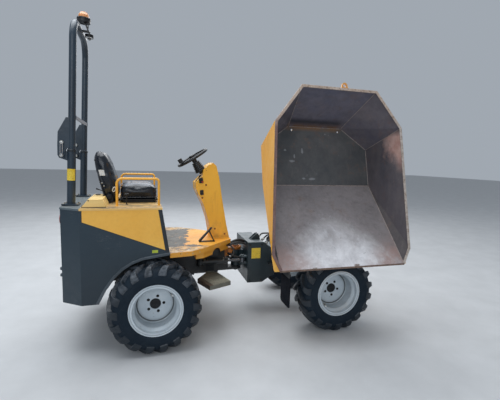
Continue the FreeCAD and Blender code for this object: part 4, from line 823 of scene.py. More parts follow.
def back_start():
    # height, rear x, front x, half width
    table = [(1210, -396, -300, 172), (1240, -404, -296, 192), (1300, -420, -303, 206), (1380, -441, -318, 211), (1460, -460, -342, 209),
             (1540, -474, -370, 200), (1590, -481, -392, 186), (1622, -478, -414, 160), (1636, -468, -432, 132)]
    rows = []
    for z, xr, xf, hw in table:
        r = min(34.0, (xf - xr) * 0.46)
        ring_ = round_rect(xr, xf, -hw, hw, r)
        # the front is hollowed a little for the driver's back
        rows.append([M(x - (10 * (1 - (y / hw) ** 2) if x > (xr + xf) / 2 else 0), y, z) for x, y in ring_])
    return lofted(rows)
back = pad("seat_back_pad", "seat_back", back_start, vinyl_mat, 0.012)

def press_seams(o, seams):
    """Pulls the surface in along seams. seams: (test(point) -> distance in m or None, depth)."""
    for v in o.data.vertices:
        p = v.co
        for dist, depth, half in seams:
            d = dist(p)
            if d is not None and d < half:
                v.co = v.co - v.normal * depth * (0.5 + 0.5 * math.cos(math.pi * d / half))
def my(p): return p.y * 1000 + OY
def mx(p): return p.x * 1000 + OX
press_seams(cushion, [
    (lambda p: abs(abs(my(p)) - 148) / 1000 if p.z > 1.27 else None, 0.0055, 0.012),
    (lambda p: abs(mx(p) + 196) / 1000 if p.z > 1.27 and abs(my(p)) < 148 else None, 0.005, 0.012),
    (lambda p: abs(p.z - 1.262) if True else None, 0.0035, 0.008)])
press_seams(back, [
    (lambda p: abs(abs(my(p)) - 128) / 1000 if p.z > 1.26 and mx(p) > -395 - (p.z - 1.26) * 130 else None, 0.005, 0.012),
    (lambda p: abs(p.z - 1.52) if abs(my(p)) < 128 and mx(p) > -440 else None, 0.0045, 0.012),
    (lambda p: abs(p.z - 1.36) if abs(my(p)) < 128 and mx(p) > -400 else None, 0.0035, 0.012)])
for o, node, fill in ((cushion, "seat_cushion", 0.8), (back, "seat_back", 0.85)):
    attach(o, "rear_frame")
    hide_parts(node)
# piping round the cushion's top and its foot
g = Geo()
for z, ins in ((1330, 9.5),):
    loop = [M(x, y, z - (max(0.0, (x + 60)) / 104) ** 2 * 26) for x, y in round_rect(-286 + ins, 42 - ins, -234 + ins, 234 - ins, 58, 10)]
    g.tube(loop, 0.0038, 8, closed=True)
g.tube([M(x, y, 1236) for x, y in round_rect(-286 + 6, 42 - 6, -234 + 6, 234 - 6, 52, 10)], 0.0034, 8, closed=True)
g.make("cushion_piping", vinyl_mat, "rear_frame", smooth=True, slot="vinyl")
# seat pan below the cushion, rear shell ribs of the back, blank label
g = Geo()
pan = round_rect(-282, 38, -228, 228, 50, 8)
rows = [[M(x, y, z) for x, y in pan] for z in (1208, 1219)]
v = rows[0] + rows[1]; n = len(pan)
g.add(v, [(i, (i + 1) % n, n + (i + 1) % n, n + i) for i in range(n)] + [tuple(range(n))[::-1], tuple(range(n, 2 * n))])
g.make("seat_pan", shell_mat, "rear_frame", slot="plastic_black", bevel=0.003)
g = Geo()
for i in range(9):
    z = 1246 + i * 17
    xr = -406 - (z - 1240) * 0.27
    g.box(M(xr - 2, 0, z), (0.005, 0, 0.002), (0, 0.170, 0), (0, 0, 0.0045))
for s in (-1, 1):
    g.box(M(-424, s * 172, 1320), (0.005, 0, 0), (0, 0.005, 0), Vector((-0.26, 0, 1)).normalized() * 0.090)
g.make("seat_back_ribs", shell_mat, "rear_frame", slot="plastic_black", bevel=0.002)
# side fittings of the seat: screws, hinge plate with its knob, tilt knob, release lever, small lug
g = Geo()
for x, z in ((-421, 1360), (-406, 1334)):
    for s in (-1, 1):
        g.ring(M(x, s * 213, z), (0, s, 0), [(0, 0), (0, 0.0065), (0.004, 0.006), (0.005, 0.003), (0.005, 0)], 16)
g.make("seat_screws", zinc, "rear_frame", slot="rim_silver")
g = Geo()
g.tube([M(-418, -217, 1294), M(-444, -218, 1303), M(-468, -218, 1312)], [0.0038, 0.0042, 0.0070], 10)
for s in (-1, 1):
    plate(g, [(-400, 1190), (-340, 1190), (-332, 1224), (-346, 1262), (-376, 1270), (-402, 1232)], s * 212, s * 220)
g.ring(M(-364, -220, 1240), (0, -1, 0), [(0, 0), (0, 0.019), (0.004, 0.021), (0.014, 0.021), (0.017, 0.017), (0.017, 0)], 24)
g.ring(M(-474, -202, 1552), (0, -1, 0), [(0, 0), (0, 0.007), (0.008, 0.007), (0.009, 0.004), (0.009, 0)], 12)
g.make("seat_hinge_plates", shell_mat, "rear_frame", slot="plastic_black", bevel=0.0012)
g = Geo()
g.tube([M(-326 + 11 * math.cos(a) + 5 * math.sin(a), -222 - 4 * math.sin(a), 1306 + 20 * math.sin(a)) for a in [math.radians(18 * i) for i in range(20)]], 0.0042, 8, closed=True)
g.tube([M(-326, -206, 1288), M(-328, -216, 1287), M(-331, -221, 1287)], 0.0040, 8)
g.make("seat_tilt_knob", label_white, "rear_frame")
g = Geo()
g.box(M(-421, -213, 1447), (0.021, 0.001, 0), (0, 0.0012, 0), (-0.005, 0, 0.024))
g.make("seat_label_blank", label_white, "rear_frame")

# ------------------------------------------------------------------ skip: rim bar, welds
MOUTH = [("lip", 580.0, 0.0), ("cheek", 642.0, 130.0), ("shoulder", 595.0, 1205.0), ("top", 355.0, 1517.0)]
LIPP, LIPZ, ML = 940.0, 721.0, math.radians(9.34)
def mouth(u, d, out=0.0):
    """Point of the mouth plane: across, up from the lip, proud of the plane."""
    return U(u, LIPP - d * math.sin(ML) + out * math.cos(ML), LIPZ + d * math.cos(ML) + out * math.sin(ML))
def ring2d(off):
    """Mouth outline moved outwards by off, open at the lip, from the right lip corner round to the left one."""
    pts = [(h, d) for _, h, d in MOUTH] + [(-h, d) for _, h, d in reversed(MOUTH)]
    n = len(pts); out = []
    for i in range(n):
        p = Vector(pts[i]); a = Vector(pts[i - 1]) if i else None; b = Vector(pts[i + 1]) if i < n - 1 else None
        def nor(q, w):
            t = (w - q).normalized(); return Vector((t.y, -t.x))
        if a is None: nn = nor(p, b); out.append(p + nn * off)
        elif b is None: nn = nor(a, p); out.append(p + nn * off)
        else:
            n1, n2 = nor(a, p), nor(p, b)
            m_ = (n1 + n2).normalized(); out.append(p + m_ * (off / max(0.35, m_.dot(n1))))
    return out
outer_, inner_ = ring2d(8.5), ring2d(-15.0)
rows = []
for (a, b) in zip(outer_, inner_):
    rows.append([mouth(a.x, a.y, 0.6), mouth(a.x, a.y, 8.0), mouth(b.x, b.y, 8.0), mouth(b.x, b.y, 0.6)])
v = [p for r in rows for p in r]; f = []
for i in range(len(rows) - 1):
    for e in range(4):
        e2 = (e + 1) % 4
        f.append((i * 4 + e, i * 4 + e2, (i + 1) * 4 + e2, (i + 1) * 4 + e))
f += [(0, 1, 2, 3)[::-1], tuple((len(rows) - 1) * 4 + e for e in range(4))]
new("skip_rim_bar", v, f, rim_bar_mat, "skip", bevel=0.0025, slot="skip_steel")

CREP, CREZ, FL = 367.0, 1360.0, math.radians(13.76)
FLOOR = {"crease": (560.0, 0.0), "corner": (560.0, 374.7), "fold": (285.0, 585.0)}
def fpt(nm, s=1):
    h, d = FLOOR[nm]
    return Vector((s * h, CREP - d * math.sin(FL), CREZ + d * math.cos(FL)))
def mpt(i, s=1):
    _, h, d = MOUTH[i]
    return Vector((s * h, LIPP - d * math.sin(ML), LIPZ + d * math.cos(ML)))
def weld_run(a, b, r=3.2, step=7.0, inset=0.012):
    a, b = Vector(a), Vector(b); L = (b - a).length; n = max(2, int(L / step))
    mid = Vector((0, 650, 1450)); pts, rr = [], []
    for i in range(n + 1):
        p = a.lerp(b, inset + (1 - 2 * inset) * i / n)
        q = p + (mid - p).normalized() * 1.0
        pts.append(U(q.x + rnd.uniform(-.4, .4), q.y, q.z + rnd.uniform(-.4, .4))); rr.append((r * (1.0 if i % 2 else 0.78) + rnd.uniform(-.3, .3)) / 1000)
    return pts, rr
g = Geo()
for s in (-1, 1):
    for a, b in ((fpt("crease", s), fpt("corner", s)), (fpt("corner", s), fpt("fold", s)), (fpt("crease", s), mpt(0, s)),
                 (fpt("corner", s), mpt(2, s)), (fpt("fold", s), mpt(3, s))):
        g.tube(*weld_run(a, b, 4.4 if b == mpt(0, s) else 3.2), 8)
g.tube(*weld_run(fpt("crease", 1), fpt("crease", -1), 4.0), 8)
g.tube(*weld_run(fpt("fold", 1), fpt("fold", -1), 2.6), 8)
g.make("skip_welds", weld_mat, "skip", smooth=True, slot="skip_steel")
# yellow corner plate at one end of the lip, a small one at the other, a patch welded on the lip
def flat(g, pts, o0, o1):
    n = len(pts)
    g.add([mouth(a, d, o0) for a, d in pts] + [mouth(a, d, o1) for a, d in pts],
          [tuple(range(n)), tuple(range(2 * n - 1, n - 1, -1))] + [(i, (i + 1) % n, n + (i + 1) % n, n + i) for i in range(n)])
g = Geo()
flat(g, [(-650, 128), (-648, 96), (-634, 4), (-626, -8), (-584, -8), (-583, 6), (-640, 128)], -15.0, -4.0)
flat(g, [(583, 6), (584, -6), (604, -6), (606, 30)], -13.0, -4.0)
g.make("lip_gussets", yellow, "skip", slot="yellow", bevel=0.0025)
g = Geo()
flat(g, [(88, -1), (86, 14), (92, 18), (128, 17), (133, 12), (132, -1)], -1.0, 3.5)
flat(g, [(-300, -1), (-301, 8), (-262, 9), (-260, -1)], -1.0, 2.0)
g.make("lip_patches", weld_mat, "skip", slot="skip_steel", bevel=0.001)

# ------------------------------------------------------------------ roll-over bar trim
g = Geo(); g2 = Geo()
for s in (-1, 1):
    for zz in (395, 495):
        for e in (-1, 1):
            g.ring(P(-67, s * 332 + e * 34, zz), (0, e, 0), [(0, 0), (0, 0.0145), (0.004, 0.0145), (0.005, 0.012), (0.005, 0)], 24)
    # lynch clip between the pins, on the outer side
    y = s * 332 + s * 41
    loop = [P(-67 - 7, y, 402), P(-67 - 7, y, 488), P(-67, y, 497), P(-67 + 7, y, 488), P(-67 + 7, y, 402), P(-67, y, 393)]
    g2.tube(smooth_path(loop + loop[:1], 5)[:-1], 0.0028, 8, closed=True)
g.make("fold_pin_heads", zinc, "rops_top", slot="rim_silver", smooth=False)
g2.make("fold_pin_clips", chrome, "rops_top", smooth=True, slot="chrome_rod")
g = Geo()
for s in (-1,):
    # blank band label on the near post, facing outwards and forwards
    v, f = [], []
    n = 20
    for i in range(n + 1):
        a = math.radians(-215 + 190 * i / n)
        for zz in (200, 292):
            for r_ in (31.25, 31.9):
                v.append(P(r_ * math.cos(a), s * 332 + r_ * math.sin(a), zz))
    for i in range(n):
        o_ = i * 4; q = o_ + 4
        f += [(o_ + 1, o_ + 3, q + 3, q + 1), (o_, q, q + 2, o_ + 2), (o_, o_ + 1, q + 1, q), (o_ + 2, q + 2, q + 3, o_ + 3)]
    f += [(0, 2, 3, 1), (n * 4, n * 4 + 1, n * 4 + 3, n * 4 + 2)]
    g.add(v, f)
g.make("post_label_blank", label_yellow, "rear_frame")
# foot bolts of the posts, clamp rings of the joint between post and hoop
g = Geo()
for s in (-1, 1):
    for dx in (-48, 48):
        for dy in (-42, 42):
            g.bolt(P(dx, s * 332 + dy, 14), (0, 0, 1), 0.0085, 0.007)
g.make("post_foot_bolts", zinc, "rear_frame", slot="rim_silver")
g = Geo()
for s in (-1, 1):
    up_ax = P(0, 0, 1) - P(0, 0, 0)
    g.ring(P(0, s * 332, 427), up_ax, [(0, 0.0311), (0.001, 0.0332), (0.0165, 0.0332), (0.0175, 0.0325), (0.0175, 0.0280), (0.0132, 0.0280), (0.0132, 0.0311)], 32)
    g.ring(P(0, s * 332, 440), up_ax, [(0.0003, 0), (0.0003, 0.027), (0.0050, 0.027), (0.0050, 0)], 24)
g.make("post_end_rings", chassis, "rear_frame", slot="slate")
# weld beads where the crossbar meets the tubes
g = Geo()
for s in (-1, 1):
    g.tube([P(x, s * y, z) for x, y, z in ((16.5, 311, 683.5), (21.5, 315.5, 683), (26.5, 322, 683.5), (27, 322, 698), (26.5, 322, 712.5), (21.5, 315.5, 713), (16.5, 311, 712.5))], 0.0026, 6, closed=True)
g.make("crossbar_welds", slate_bar, "rops_top", smooth=True, slot="slate")
# beacon base: rubber foot and ring, strap bolts, lamp lens and bezel
g = Geo()
T = 1446
ax_ = P(0, 0, 1) - P(0, 0, 0)
g.ring(P(34, -40, T + 90), ax_, [(0, 0.0522), (0, 0.0545), (0.008, 0.0545), (0.012, 0.050), (0.012, 0.0522)], 36)
g.ring(P(34, -40, T + 64), ax_, [(0, 0.030), (0, 0.047), (0.004, 0.050), (0.004, 0.030)], 36)
g.make("beacon_ring", plastic, "rops_top", slot="plastic_black")
g = Geo()
for zz in (-2, 40):
    g.bolt(P(49 + (68 - zz) * 0.4388, -40, T + zz), P(1, 0, 0.44) - P(0, 0, 0), 0.006, 0.005)
g.make("strap_bolts", zinc, "rops_top", slot="rim_silver")
g = Geo()
for zz in (-27, -31, -35, -39):
    g.ring(P(78, -40, T + zz), ax_, [(-0.0008, 0.031), (-0.0008, 0.0336), (0.0008, 0.0336), (0.0008, 0.031)], 32)
g.ring(P(78, -40, T - 46), -ax_, [(-0.004, 0.0318), (-0.004, 0.0342), (0.0025, 0.0342), (0.0025, 0.029), (0.0002, 0.029)], 32)
g.make("lamp_bezel", plastic, "rops_top", slot="plastic_black")
g = Geo()
g.ring(P(78, -40, T - 46), -ax_, [(0.0004, 0), (0.0004, 0.0288), (0.0016, 0.0282), (0.0026, 0.020), (0.0030, 0)], 32)
g.make("lamp_lens_disc", clear, "rops_top", smooth=True)
# beacon lead: from the base, along the strap and down the crossbar's underside
g = Geo()
lead = smooth_path([P(60, -70, T + 64), P(74, -76, T + 34), P(68, -84, T - 4), P(46, -96, T - 26), P(16, -130, T - 31.5), P(4, -200, T - 30.5), P(0, -210, T - 30.5)], 6)
g.tube(lead, 0.0032, 8)
g.make("beacon_lead", hose_mat, "rops_top", smooth=True, slot="rubber_flap")

# ------------------------------------------------------------------ pedestal, lever, controls
g = Geo()
g.box(M(447, -96, 1381), (0.020, 0, 0.004), (0, 0.005, 0), (-0.005, 0, 0.025))
g.make("switch_plate", plastic, "rear_frame", bevel=0.004, slot="plastic_black")
g = Geo()
g.ring(M(440, -101, 1392), (0, -1, 0), [(0, 0), (0, 0.011), (0.012, 0.010), (0.014, 0.008), (0.014, 0)], 20)
g.make("start_switch", dark_steel, "rear_frame", slot="cast")
g = Geo()
g.ring(M(458, -101, 1368), (0, -1, 0), [(0, 0), (0, 0.0085), (0.010, 0.0085), (0.013, 0.0065), (0.013, 0)], 20)
g.make("warning_lens_red", red_plastic, "rear_frame", smooth=False)
g = Geo()
g.tube(smooth_path([M(398, -70, 1372), M(404, -92, 1384), M(418, -98, 1404), M(434, -98, 1424)], 5), 0.0042, 10)
g.tube([M(428, -98, 1416), M(442, -98, 1434)], [0.0085, 0.0065], 12)
g.make("direction_lever", plastic, "rear_frame", smooth=True, slot="plastic_black")
g = Geo()
g.box(M(456, -95.5, 1265), (0.017, 0, 0.003), (0, 0.0045, 0), (-0.003, 0, 0.024))
g.box(M(456, -101, 1272), (0.010, 0, 0.002), (0, 0.003, 0), (-0.001, 0, 0.009))
g.make("rocker_switch", plastic, "rear_frame", bevel=0.003, slot="plastic_black")
g = Geo()
for x, z in ((497, 1338), (462, 1213), (590, 905), (690, 850)):
    for s in (-1, 1):
        g.bolt(M(x, s * 92, z), (0, s, 0), 0.0058, 0.003)
g.make("pedestal_screws", rusty_bolt, "rear_frame", slot="rim_silver")
# folded edge strips of the pedestal, 2 mm proud
COL = [(560, 808), (738, 808), (704, 938), (658, 1190), (624, 1407), (594, 1522), (562, 1551), (513, 1521), (475, 1482), (466, 1424), (399, 1358), (402, 1300), (429, 1240), (479, 1142), (531, 973)]
g = Geo()
for s in (-1, 1):
    loop = [M(x, s * 91.4, z) for x, z in COL]
    g.tube(loop, 0.0026, 6, closed=True)
g.make("pedestal_edges", pedestal_mat, "rear_frame", smooth=True, slot="yellow")
# base plate flange where the pedestal stands
g = Geo()
for s in (-1, 1):
    g.box(M(648, s * 103, 812), (0.088, 0, 0), (0, 0.011, 0), (0, 0, 0.0035))
    for x in (585, 640, 700):
        g.bolt(M(x, s * 105, 815.5), (0, 0, 1), 0.0075, 0.006)
g.make("pedestal_flange", pedestal_mat, "rear_frame", bevel=0.0015, slot="yellow")
# steering boot pleats
SWC, SWT = Vector((377.5, 0, 1596.0)), math.radians(-32.9)
def W(x, y, z):
    c, s = math.cos(SWT), math.sin(SWT)
    return M(SWC.x + x * c + z * s, SWC.y + y, SWC.z - x * s + z * c)
wa = W(0, 0, -1) - W(0, 0, 0)
g = Geo()
for i in range(6):
    t = i / 5
    r_ = (35 + 15 * t) / 1000
    g.tube([W((r_ * 1000) * math.cos(a), (r_ * 1000) * math.sin(a), -58 - 84 * t) for a in [2 * math.pi * q / 40 for q in range(40)]], 0.0055, 8, closed=True)
g.make("steering_boot_pleats", plastic, "rear_frame", smooth=True, slot="plastic_black")
# wheel: hub cap, grip finger bumps on the rim's underside
g = Geo()
g.ring(W(0, 0, 17), -wa, [(0, 0), (0, 0.0335), (0.005, 0.031), (0.009, 0.022), (0.010, 0)], 32)
g.make("wheel_hub_cap", plastic, "hand_wheel", smooth=True, slot="plastic_black")
g = Geo()
for q in range(48):
    a = 2 * math.pi * q / 48
    c = W(152 * math.cos(a), 152 * math.sin(a), -11.4)
    g.ring(c, wa, [(-0.001, 0), (-0.001, 0.0042), (0.0012, 0.0036), (0.0022, 0)], 8)
g.make("wheel_grips", plastic, "hand_wheel", smooth=True, slot="plastic_black")
# seat lever: thin bent rod with a cross grip at the top, inside the near rail
g = Geo()
g.tube([M(-222, -330, 1187), M(-222, -330, 1192)], [0.011, 0.008], 12)
g.tube(smooth_path([M(-222, -330, 1188), M(-223, -330, 1226), M(-221, -330, 1270)], 6), 0.0048, 10)
g.tube([M(-240, -330, 1271), M(-236, -330, 1273), M(-208, -330, 1275), M(-203, -330, 1274)], [0.0045, 0.0065, 0.0065, 0.0045], 12)
g.make("seat_lever", plastic, "rear_frame", smooth=True, slot="plastic_black")
# pedal rubber ribs
g = Geo()
d = Vector((120, 0, 128)).normalized()
for i in range(8):
    c = Vector((410, -214, 820)) + d * (18 + i * 20)
    nn = Vector((-0.729, 0, 0.684))
    g.box(M(c.x + nn.x * 0.6, c.y, c.z + nn.z * 0.6), (M(d.x, 0, d.z) - M(0, 0, 0)) * 2.6, (0, 0.0145, 0), (M(nn.x, 0, nn.z) - M(0, 0, 0)) * 1.8)
g.make("pedal_ribs", hose_mat, "rear_frame", slot="rubber_flap", bevel=0.001)

# bars of the step's tread, parallel to its outboard edge
STEP = [(463, -513), (674, -424), (606, -135), (503, -135), (388, -300)]
ed_ = Vector((211, 89)).normalized(); en_ = Vector((-ed_.y, ed_.x))
g = Geo()
for s in (-1, 1):
    for i in range(12):
        o_ = Vector(STEP[0]) + en_ * (14 + i * 22)
        cut = []
        for j in range(5):
            a, b = Vector(STEP[j]), Vector(STEP[(j + 1) % 5])
            den = (b - a).x * ed_.y - (b - a).y * ed_.x
            if abs(den) < 1e-6: continue
            q = ((o_ - a).x * ed_.y - (o_ - a).y * ed_.x) / den
            if 0 <= q <= 1: cut.append((a + (b - a) * q - o_).dot(ed_))
        if len(cut) < 2 or max(cut) - min(cut) < 40: continue
        t0, t1 = min(cut) + 9, max(cut) - 9
        c = o_ + ed_ * ((t0 + t1) / 2)
        g.box(M(c.x, -s * c.y, 480.2), (M(ed_.x, -s * ed_.y, 0) - M(0, 0, 0)) * ((t1 - t0) / 2), (M(en_.x, -s * en_.y, 0) - M(0, 0, 0)) * 3.0, (0, 0, 0.0022))
g.make("step_bars", step_mat, "rear_frame", slot="plate_worn", bevel=0.0008)
# gusset plates under the upper ear of the centre joint
g = Geo()
for s in (-1, 1):
    plate(g, [(741, 673), (795, 673), (772, 626), (741, 598)], s * 45, s * 52)
g.make("ear_gussets", ear_yellow, "rear_frame", slot="yellow", bevel=0.001)
# hoses over the centre joint
for i, pts in enumerate((((704, -116, 736), (745, -124, 746), (800, -128, 762), (850, -124, 758), (912, -112, 742)),
                         ((704, -94, 738), (745, -102, 750), (790, -108, 780), (840, -106, 788), (880, -100, 776), (912, -92, 760)),
                         ((704, -70, 736), (748, -76, 752), (805, -80, 770), (860, -76, 762), (912, -66, 744)))):
    g = Geo()
    g.tube(smooth_path([M(*q) for q in pts], 7), 0.0115, 14)
    g.tube([M(*pts[-2]).lerp(M(*pts[-1]), 0.62), M(*pts[-2]).lerp(M(*pts[-1]), 0.95)], 0.0145, 6)
    o = g.make("joint_hose_%d" % (i + 1), hose_mat, None, smooth=True, slot="rubber_flap")
    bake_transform(o)
for i, pts in enumerate((((736, -40, 636), (764, -72, 628), (800, -92, 612), (850, -92, 600), (912, -74, 604)),
                         ((736, -40, 604), (762, -74, 590), (800, -96, 570), (850, -96, 560), (912, -80, 566)),
                         ((736, 40, 630), (764, 72, 616), (805, 92, 598), (850, 92, 592), (912, 74, 600)))):
    g = Geo()
    g.tube(smooth_path([M(*q) for q in pts], 7), 0.013, 14)
    o = g.make("joint_hose_low_%d" % (i + 1), hose_mat, None, smooth=True, slot="rubber_flap")
    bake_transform(o)
g = Geo()
g.tube(smooth_path([M(*q) for q in ((700, -128, 740), (742, -137, 737), (768, -150, 704), (768, -165, 664), (742, -178, 636), (702, -189, 628), (664, -196, 636))], 7), 0.0085, 12)
o = g.make("steer_ram_hose", hose_mat, None, smooth=True, slot="rubber_flap")
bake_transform(o)

# ------------------------------------------------------------------ rear body trim
ARCH = [(-430.0, 431.0), (-372.0, 545.0)] + [(403 * math.cos(math.radians(a)), 376 + 403 * math.sin(math.radians(a))) for a in (151, 140, 128, 116, 104)] + [(115.0, 797.0)]
def catmull2(pts, n=6):
    return [(p.x, p.y) for p in smooth_path([Vector((x, y, 0)) for x, y in pts], n)]
g = Geo()
for s in (-1, 1):
    path = ARCH
    # raised lip: a flat strip that stands 6 mm out of the panel, 20 mm wide
    rows = []
    pts = path
    for i, (x, z) in enumerate(pts):
        a = pts[max(0, i - 1)]; b = pts[min(len(pts) - 1, i + 1)]
        t = Vector((b[0] - a[0], b[1] - a[1])).normalized(); nn = Vector((-t.y, t.x))
        y0, y1 = s * 573.0, s * 579.0
        rows.append([M(x, y0, z), M(x, y1, z), M(x + nn.x * 20, y1, z + nn.y * 20), M(x + nn.x * 24, y0, z + nn.y * 24)])
    v = [p for r in rows for p in r]; f = []
    for i in range(len(rows) - 1):
        for e in range(4):
            e2 = (e + 1) % 4
            f.append((i * 4 + e, i * 4 + e2, (i + 1) * 4 + e2, (i + 1) * 4 + e))
    f += [(3, 2, 1, 0), tuple((len(rows) - 1) * 4 + e for e in range(4))]
    g.add(v, f)
# the lips take the lighter slate of the painted highlight
g.make("arch_lips", slate_lip_highlight, "rear_frame", slot="slate", bevel=0.002)
# dark trim down the panel's front edge
g = Geo()
for s in (-1, 1):
    a, b = Vector((53, 1174)), Vector((113, 802))
    t = (b - a).normalized()
    c = (a + b) / 2
    g.box(M(c.x - 13, s * 574.2, c.y), (0.0125, 0, 0.0), (0, 0.0016, 0), (M(t.x, 0, t.y) - M(0, 0, 0)) * ((b - a).length / 2))
g.make("front_edge_trim", chassis, "rear_frame", slot="chassis_black", bevel=0.001)
# flush screws in the rear panel
g = Geo()
for y in (-380, -130, 130, 380):
    for z in (470, 1140):
        g.ring(M(-702, y, z), (-1, 0, 0), [(0, 0), (0, 0.0065), (0.0012, 0.0060), (0.0018, 0.0035), (0.0018, 0)], 18)
g.make("panel_screws", dark_steel, "rear_frame", slot="cast")
# air louvres in the rear panel
g = Geo()
for i in range(9):
    z = 1090 - i * 26
    g.box(M(-704, 0, z), (0.0035, 0, 0.002), (0, 0.20, 0), (-0.003, 0, 0.0085))
g.make("rear_louvres", slate, "rear_frame", slot="slate", bevel=0.002)
# round lamps at the rear corners (guessed from the type)
g = Geo(); g2 = Geo()
for s in (-1, 1):
    g.ring(M(-702, s * 380, 1085), (-1, 0, 0), [(0, 0), (0, 0.042), (0.008, 0.042), (0.010, 0.038), (0.010, 0)], 32)
    g2.ring(M(-712, s * 380, 1085), (-1, 0, 0), [(0, 0), (0, 0.036), (0.004, 0.034), (0.007, 0.020), (0.008, 0)], 32)
g.make("rear_lamp_bases", plastic, "rear_frame", slot="plastic_black")
g2.make("rear_lamp_lenses", red_plastic, "rear_frame", smooth=True)
g = Geo()
g.box(M(-3, -572.8, 833), (0.023, 0, 0), (0, 0.0007, 0), (0, 0, 0.0115))
g.make("side_label_blank", label_green, "rear_frame")
# weld collars at the feet of the rails
g = Geo()
for s in (-1, 1):
    for x in (-293, 36):
        g.ring(M(x, s * 420, 1188), (0, 0, 1), [(0, 0.0102), (0, 0.0150), (0.0022, 0.0138), (0.0045, 0.0112), (0.0045, 0.0102)], 20)
g.make("rail_foot_welds", yellow_rail, "rear_frame", smooth=True, slot="yellow")
# cover behind the seat: folded seam, dark line at its foot, hinges and cap
g = Geo()
for y in (-430, -150):
    g.ring(M(-549, y - 20, 1195), (0, 1, 0), [(0, 0), (0, 0.006), (0.04, 0.006), (0.04, 0)], 12)
g.make("hood_hinges", zinc, "rear_frame", slot="rim_silver", smooth=False)
g = Geo()
g.ring(M(-462, -130, 1249.6), (0, 0, 1), [(0, 0), (0, 0.022), (0.006, 0.020), (0.008, 0.010), (0.008, 0)], 24)
g.box(M(-457.5, -500.6, 1190.5), (0.090, 0, 0), (0, 0.0012, 0), (0, 0, 0.0022))
g.box(M(-497, -500.4, 1243), (0.004, 0, 0), (0, 0.0012, 0), (0, 0, 0.004))
g.make("hood_cap", plastic, "rear_frame", slot="plastic_black")
g = Geo()
g.tube([M(-501, -500.2, 1248.4), M(-447, -500.2, 1249.4), M(-393, -500.2, 1250.4)], 0.0022, 8)
g.tube([M(-393, -500.2, 1250.4), M(-380, -500.2, 1220), M(-367.5, -500.2, 1191)], 0.0018, 8)
g.make("hood_folds", yellow_faded, "rear_frame", smooth=True, slot="yellow")

# ------------------------------------------------------------------ front box trim
fy = (F(0, -1, 0) - F(0, 0, 0)).normalized(); fxv = (F(1, 0, 0) - F(0, 0, 0)).normalized()
g = Geo()
g.box(F(-684, -235.8, 674), fxv * 0.046, fy * 0.0007, (0, 0, 0.052))
g.make("box_label_blank", label_yellow, "front_frame")
g = Geo()
for s in (-1, 1):
    for x, z in ((-745, 760), (-625, 760), (-745, 400), (-625, 400), (-500, 640), (-490, 500)):
        g.bolt(F(x, s * 235, z), fy * (-s), 0.0065, 0.004)
g.make("box_screws", dark_steel, "front_frame", slot="cast")
TW = [(-765, 783), (-603, 783), (-470, 640), (-465, 475), (-612, 378), (-765, 378)]
g = Geo()
for s in (-1, 1):
    g.tube([F(x, s * 234.2, z) for x, z in TW], 0.0030, 6, closed=True)
g.make("box_edge_welds", slate_front, "front_frame", smooth=True, slot="slate")
# centre joint: grease cap
g = Geo()
g.ring(M(835.5, 0, 709), (0, 0, 1), [(0, 0), (0, 0.026), (0.006, 0.024), (0.010, 0.010), (0.016, 0.0045), (0.018, 0)], 24)
g.make("joint_cap", dark_steel, "rear_frame", slot="cast")
# hose unions at both ends of each hose
g = Geo()
for x0, z0, y, top, x1 in ((-560.0, 736.8, -134.0, 786.0, -404.0), (-588.0, 766.9, -96.0, 824.0, -436.0), (-574.0, 751.8, 96.0, 800.0, -418.0)):
    g.ring(F(x1, y, 714), (0, 0, 1), [(-0.022, 0.0125), (-0.010, 0.0135), (-0.004, 0.0135), (-0.004, 0.011), (0.010, 0.0105), (0.010, 0.0086)], 6)
    d = (F(0.733, 0, 0.682) - F(0, 0, 0)).normalized()
    g.ring(F(x0 + 8, y, z0 + 7.5), d, [(0.0, 0.0125), (0.008, 0.0135), (0.014, 0.0135), (0.014, 0.011), (0.026, 0.0105), (0.026, 0.0086)], 6)
g.make("hose_unions", zinc, "front_frame", slot="rim_silver")
# flap clamp strips
g = Geo()
for s in (-1, 1):
    g.box(F(-488, s * 576, 578), fxv * 0.002, fy * 0.100, (0, 0, 0.012))
    for y in (500, 576, 652):
        g.bolt(F(-486, s * y, 578), fxv, 0.006, 0.005)
g.make("flap_clamps", zinc, "front_frame", slot="rim_silver", bevel=0.0008)
# turntable ring bolts
g = Geo()
for i in range(16):
    a = 2 * math.pi * (i + 0.5) / 16
    x, y = 198 * math.cos(a), 198 * math.sin(a)
    if abs(x) > 108 and abs(x) < 162:
        continue
    g.bolt(U(x, y, 766), (0, 0, 1), 0.007, 0.006)
g.make("ring_bolts", zinc, "turntable", slot="rim_silver")
# ram port fittings
g = Geo()
g.ring(M(475, -190, 612), (0, -0.5, 1), [(0, 0), (0, 0.010), (0.016, 0.010), (0.016, 0.007), (0.026, 0.007), (0.026, 0)], 6)
g.ring(M(660, -188, 612), (0, -0.5, 1), [(0, 0), (0, 0.010), (0.016, 0.010), (0.016, 0.007), (0.026, 0.007), (0.026, 0)], 6)
g.make("steer_ram_ports", zinc, "steer_barrel", slot="rim_silver")

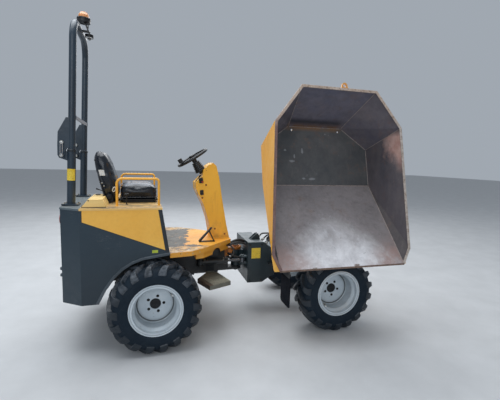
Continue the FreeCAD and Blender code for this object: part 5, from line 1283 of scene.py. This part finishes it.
# ------------------------------------------------------------------ camera, light, floor
YAW, PITCH, ROLL = 0.316, 0.114, 0.028
fwd = Vector((math.sin(YAW) * math.cos(PITCH), math.cos(YAW) * math.cos(PITCH), -math.sin(PITCH)))
right0 = Vector((math.cos(YAW), -math.sin(YAW), 0))
up0 = right0.cross(fwd)
right = right0 * math.cos(ROLL) + up0 * math.sin(ROLL)
up = up0 * math.cos(ROLL) - right0 * math.sin(ROLL)
cam_data = bpy.data.cameras.new("camera")
cam_data.sensor_width = 36.0
cam_data.lens = 345.0 / 500.0 * 36.0
cam_data.clip_start = 0.05
cam = bpy.data.objects.new("camera", cam_data)
m = Matrix((right, up, -fwd)).transposed().to_4x4()
m.translation = Vector((-0.811, -3.241, 1.585))
cam.matrix_world = m
COLL.objects.link(cam)
bpy.context.scene.camera = cam

me = bpy.data.meshes.new("floor")
s = 40.0
me.from_pydata([(-s, -s, 0), (s, -s, 0), (s, s, 0), (-s, s, 0)], [], [(0, 1, 2, 3)])
floor = bpy.data.objects.new("floor", me)
COLL.objects.link(floor)
k = Mat("floor_pale")
floor.data.materials.append(k.done(k.mix(k.ramp(k.noise(3.0, 6.0), 0.3, 0.7), lin(186, 187, 188), lin(196, 197, 198)), 0.9, 0.0))

def area(name, loc, aim, size, power, color=(1, 1, 1)):
    d = bpy.data.lights.new(name, "AREA"); d.shape = "RECTANGLE"; d.size, d.size_y = size; d.energy = power; d.color = color
    o = bpy.data.objects.new(name, d)
    o.location = loc
    o.rotation_euler = (Vector(aim) - Vector(loc)).to_track_quat("-Z", "Y").to_euler()
    COLL.objects.link(o)
area("key", (-1.5, 0.8, 7.5), (0.2, 0, 0.6), (7.0, 6.0), 560, (0.95, 0.985, 1.02))
area("fill", (-3.0, -8.0, 4.5), (0.2, 0, 0.9), (7.0, 4.0), 185, (0.92, 0.98, 1.04))
area("rim", (1.5, 6.5, 5.0), (0, 0, 1.2), (6.0, 3.0), 160)
world = bpy.data.worlds.new("world")
bpy.context.scene.world = world
world.use_nodes = True
world.node_tree.nodes["Background"].inputs[0].default_value = (0.84, 0.93, 1.04, 1)
world.node_tree.nodes["Background"].inputs[1].default_value = 0.42
bpy.context.scene.view_settings.view_transform = "Standard"
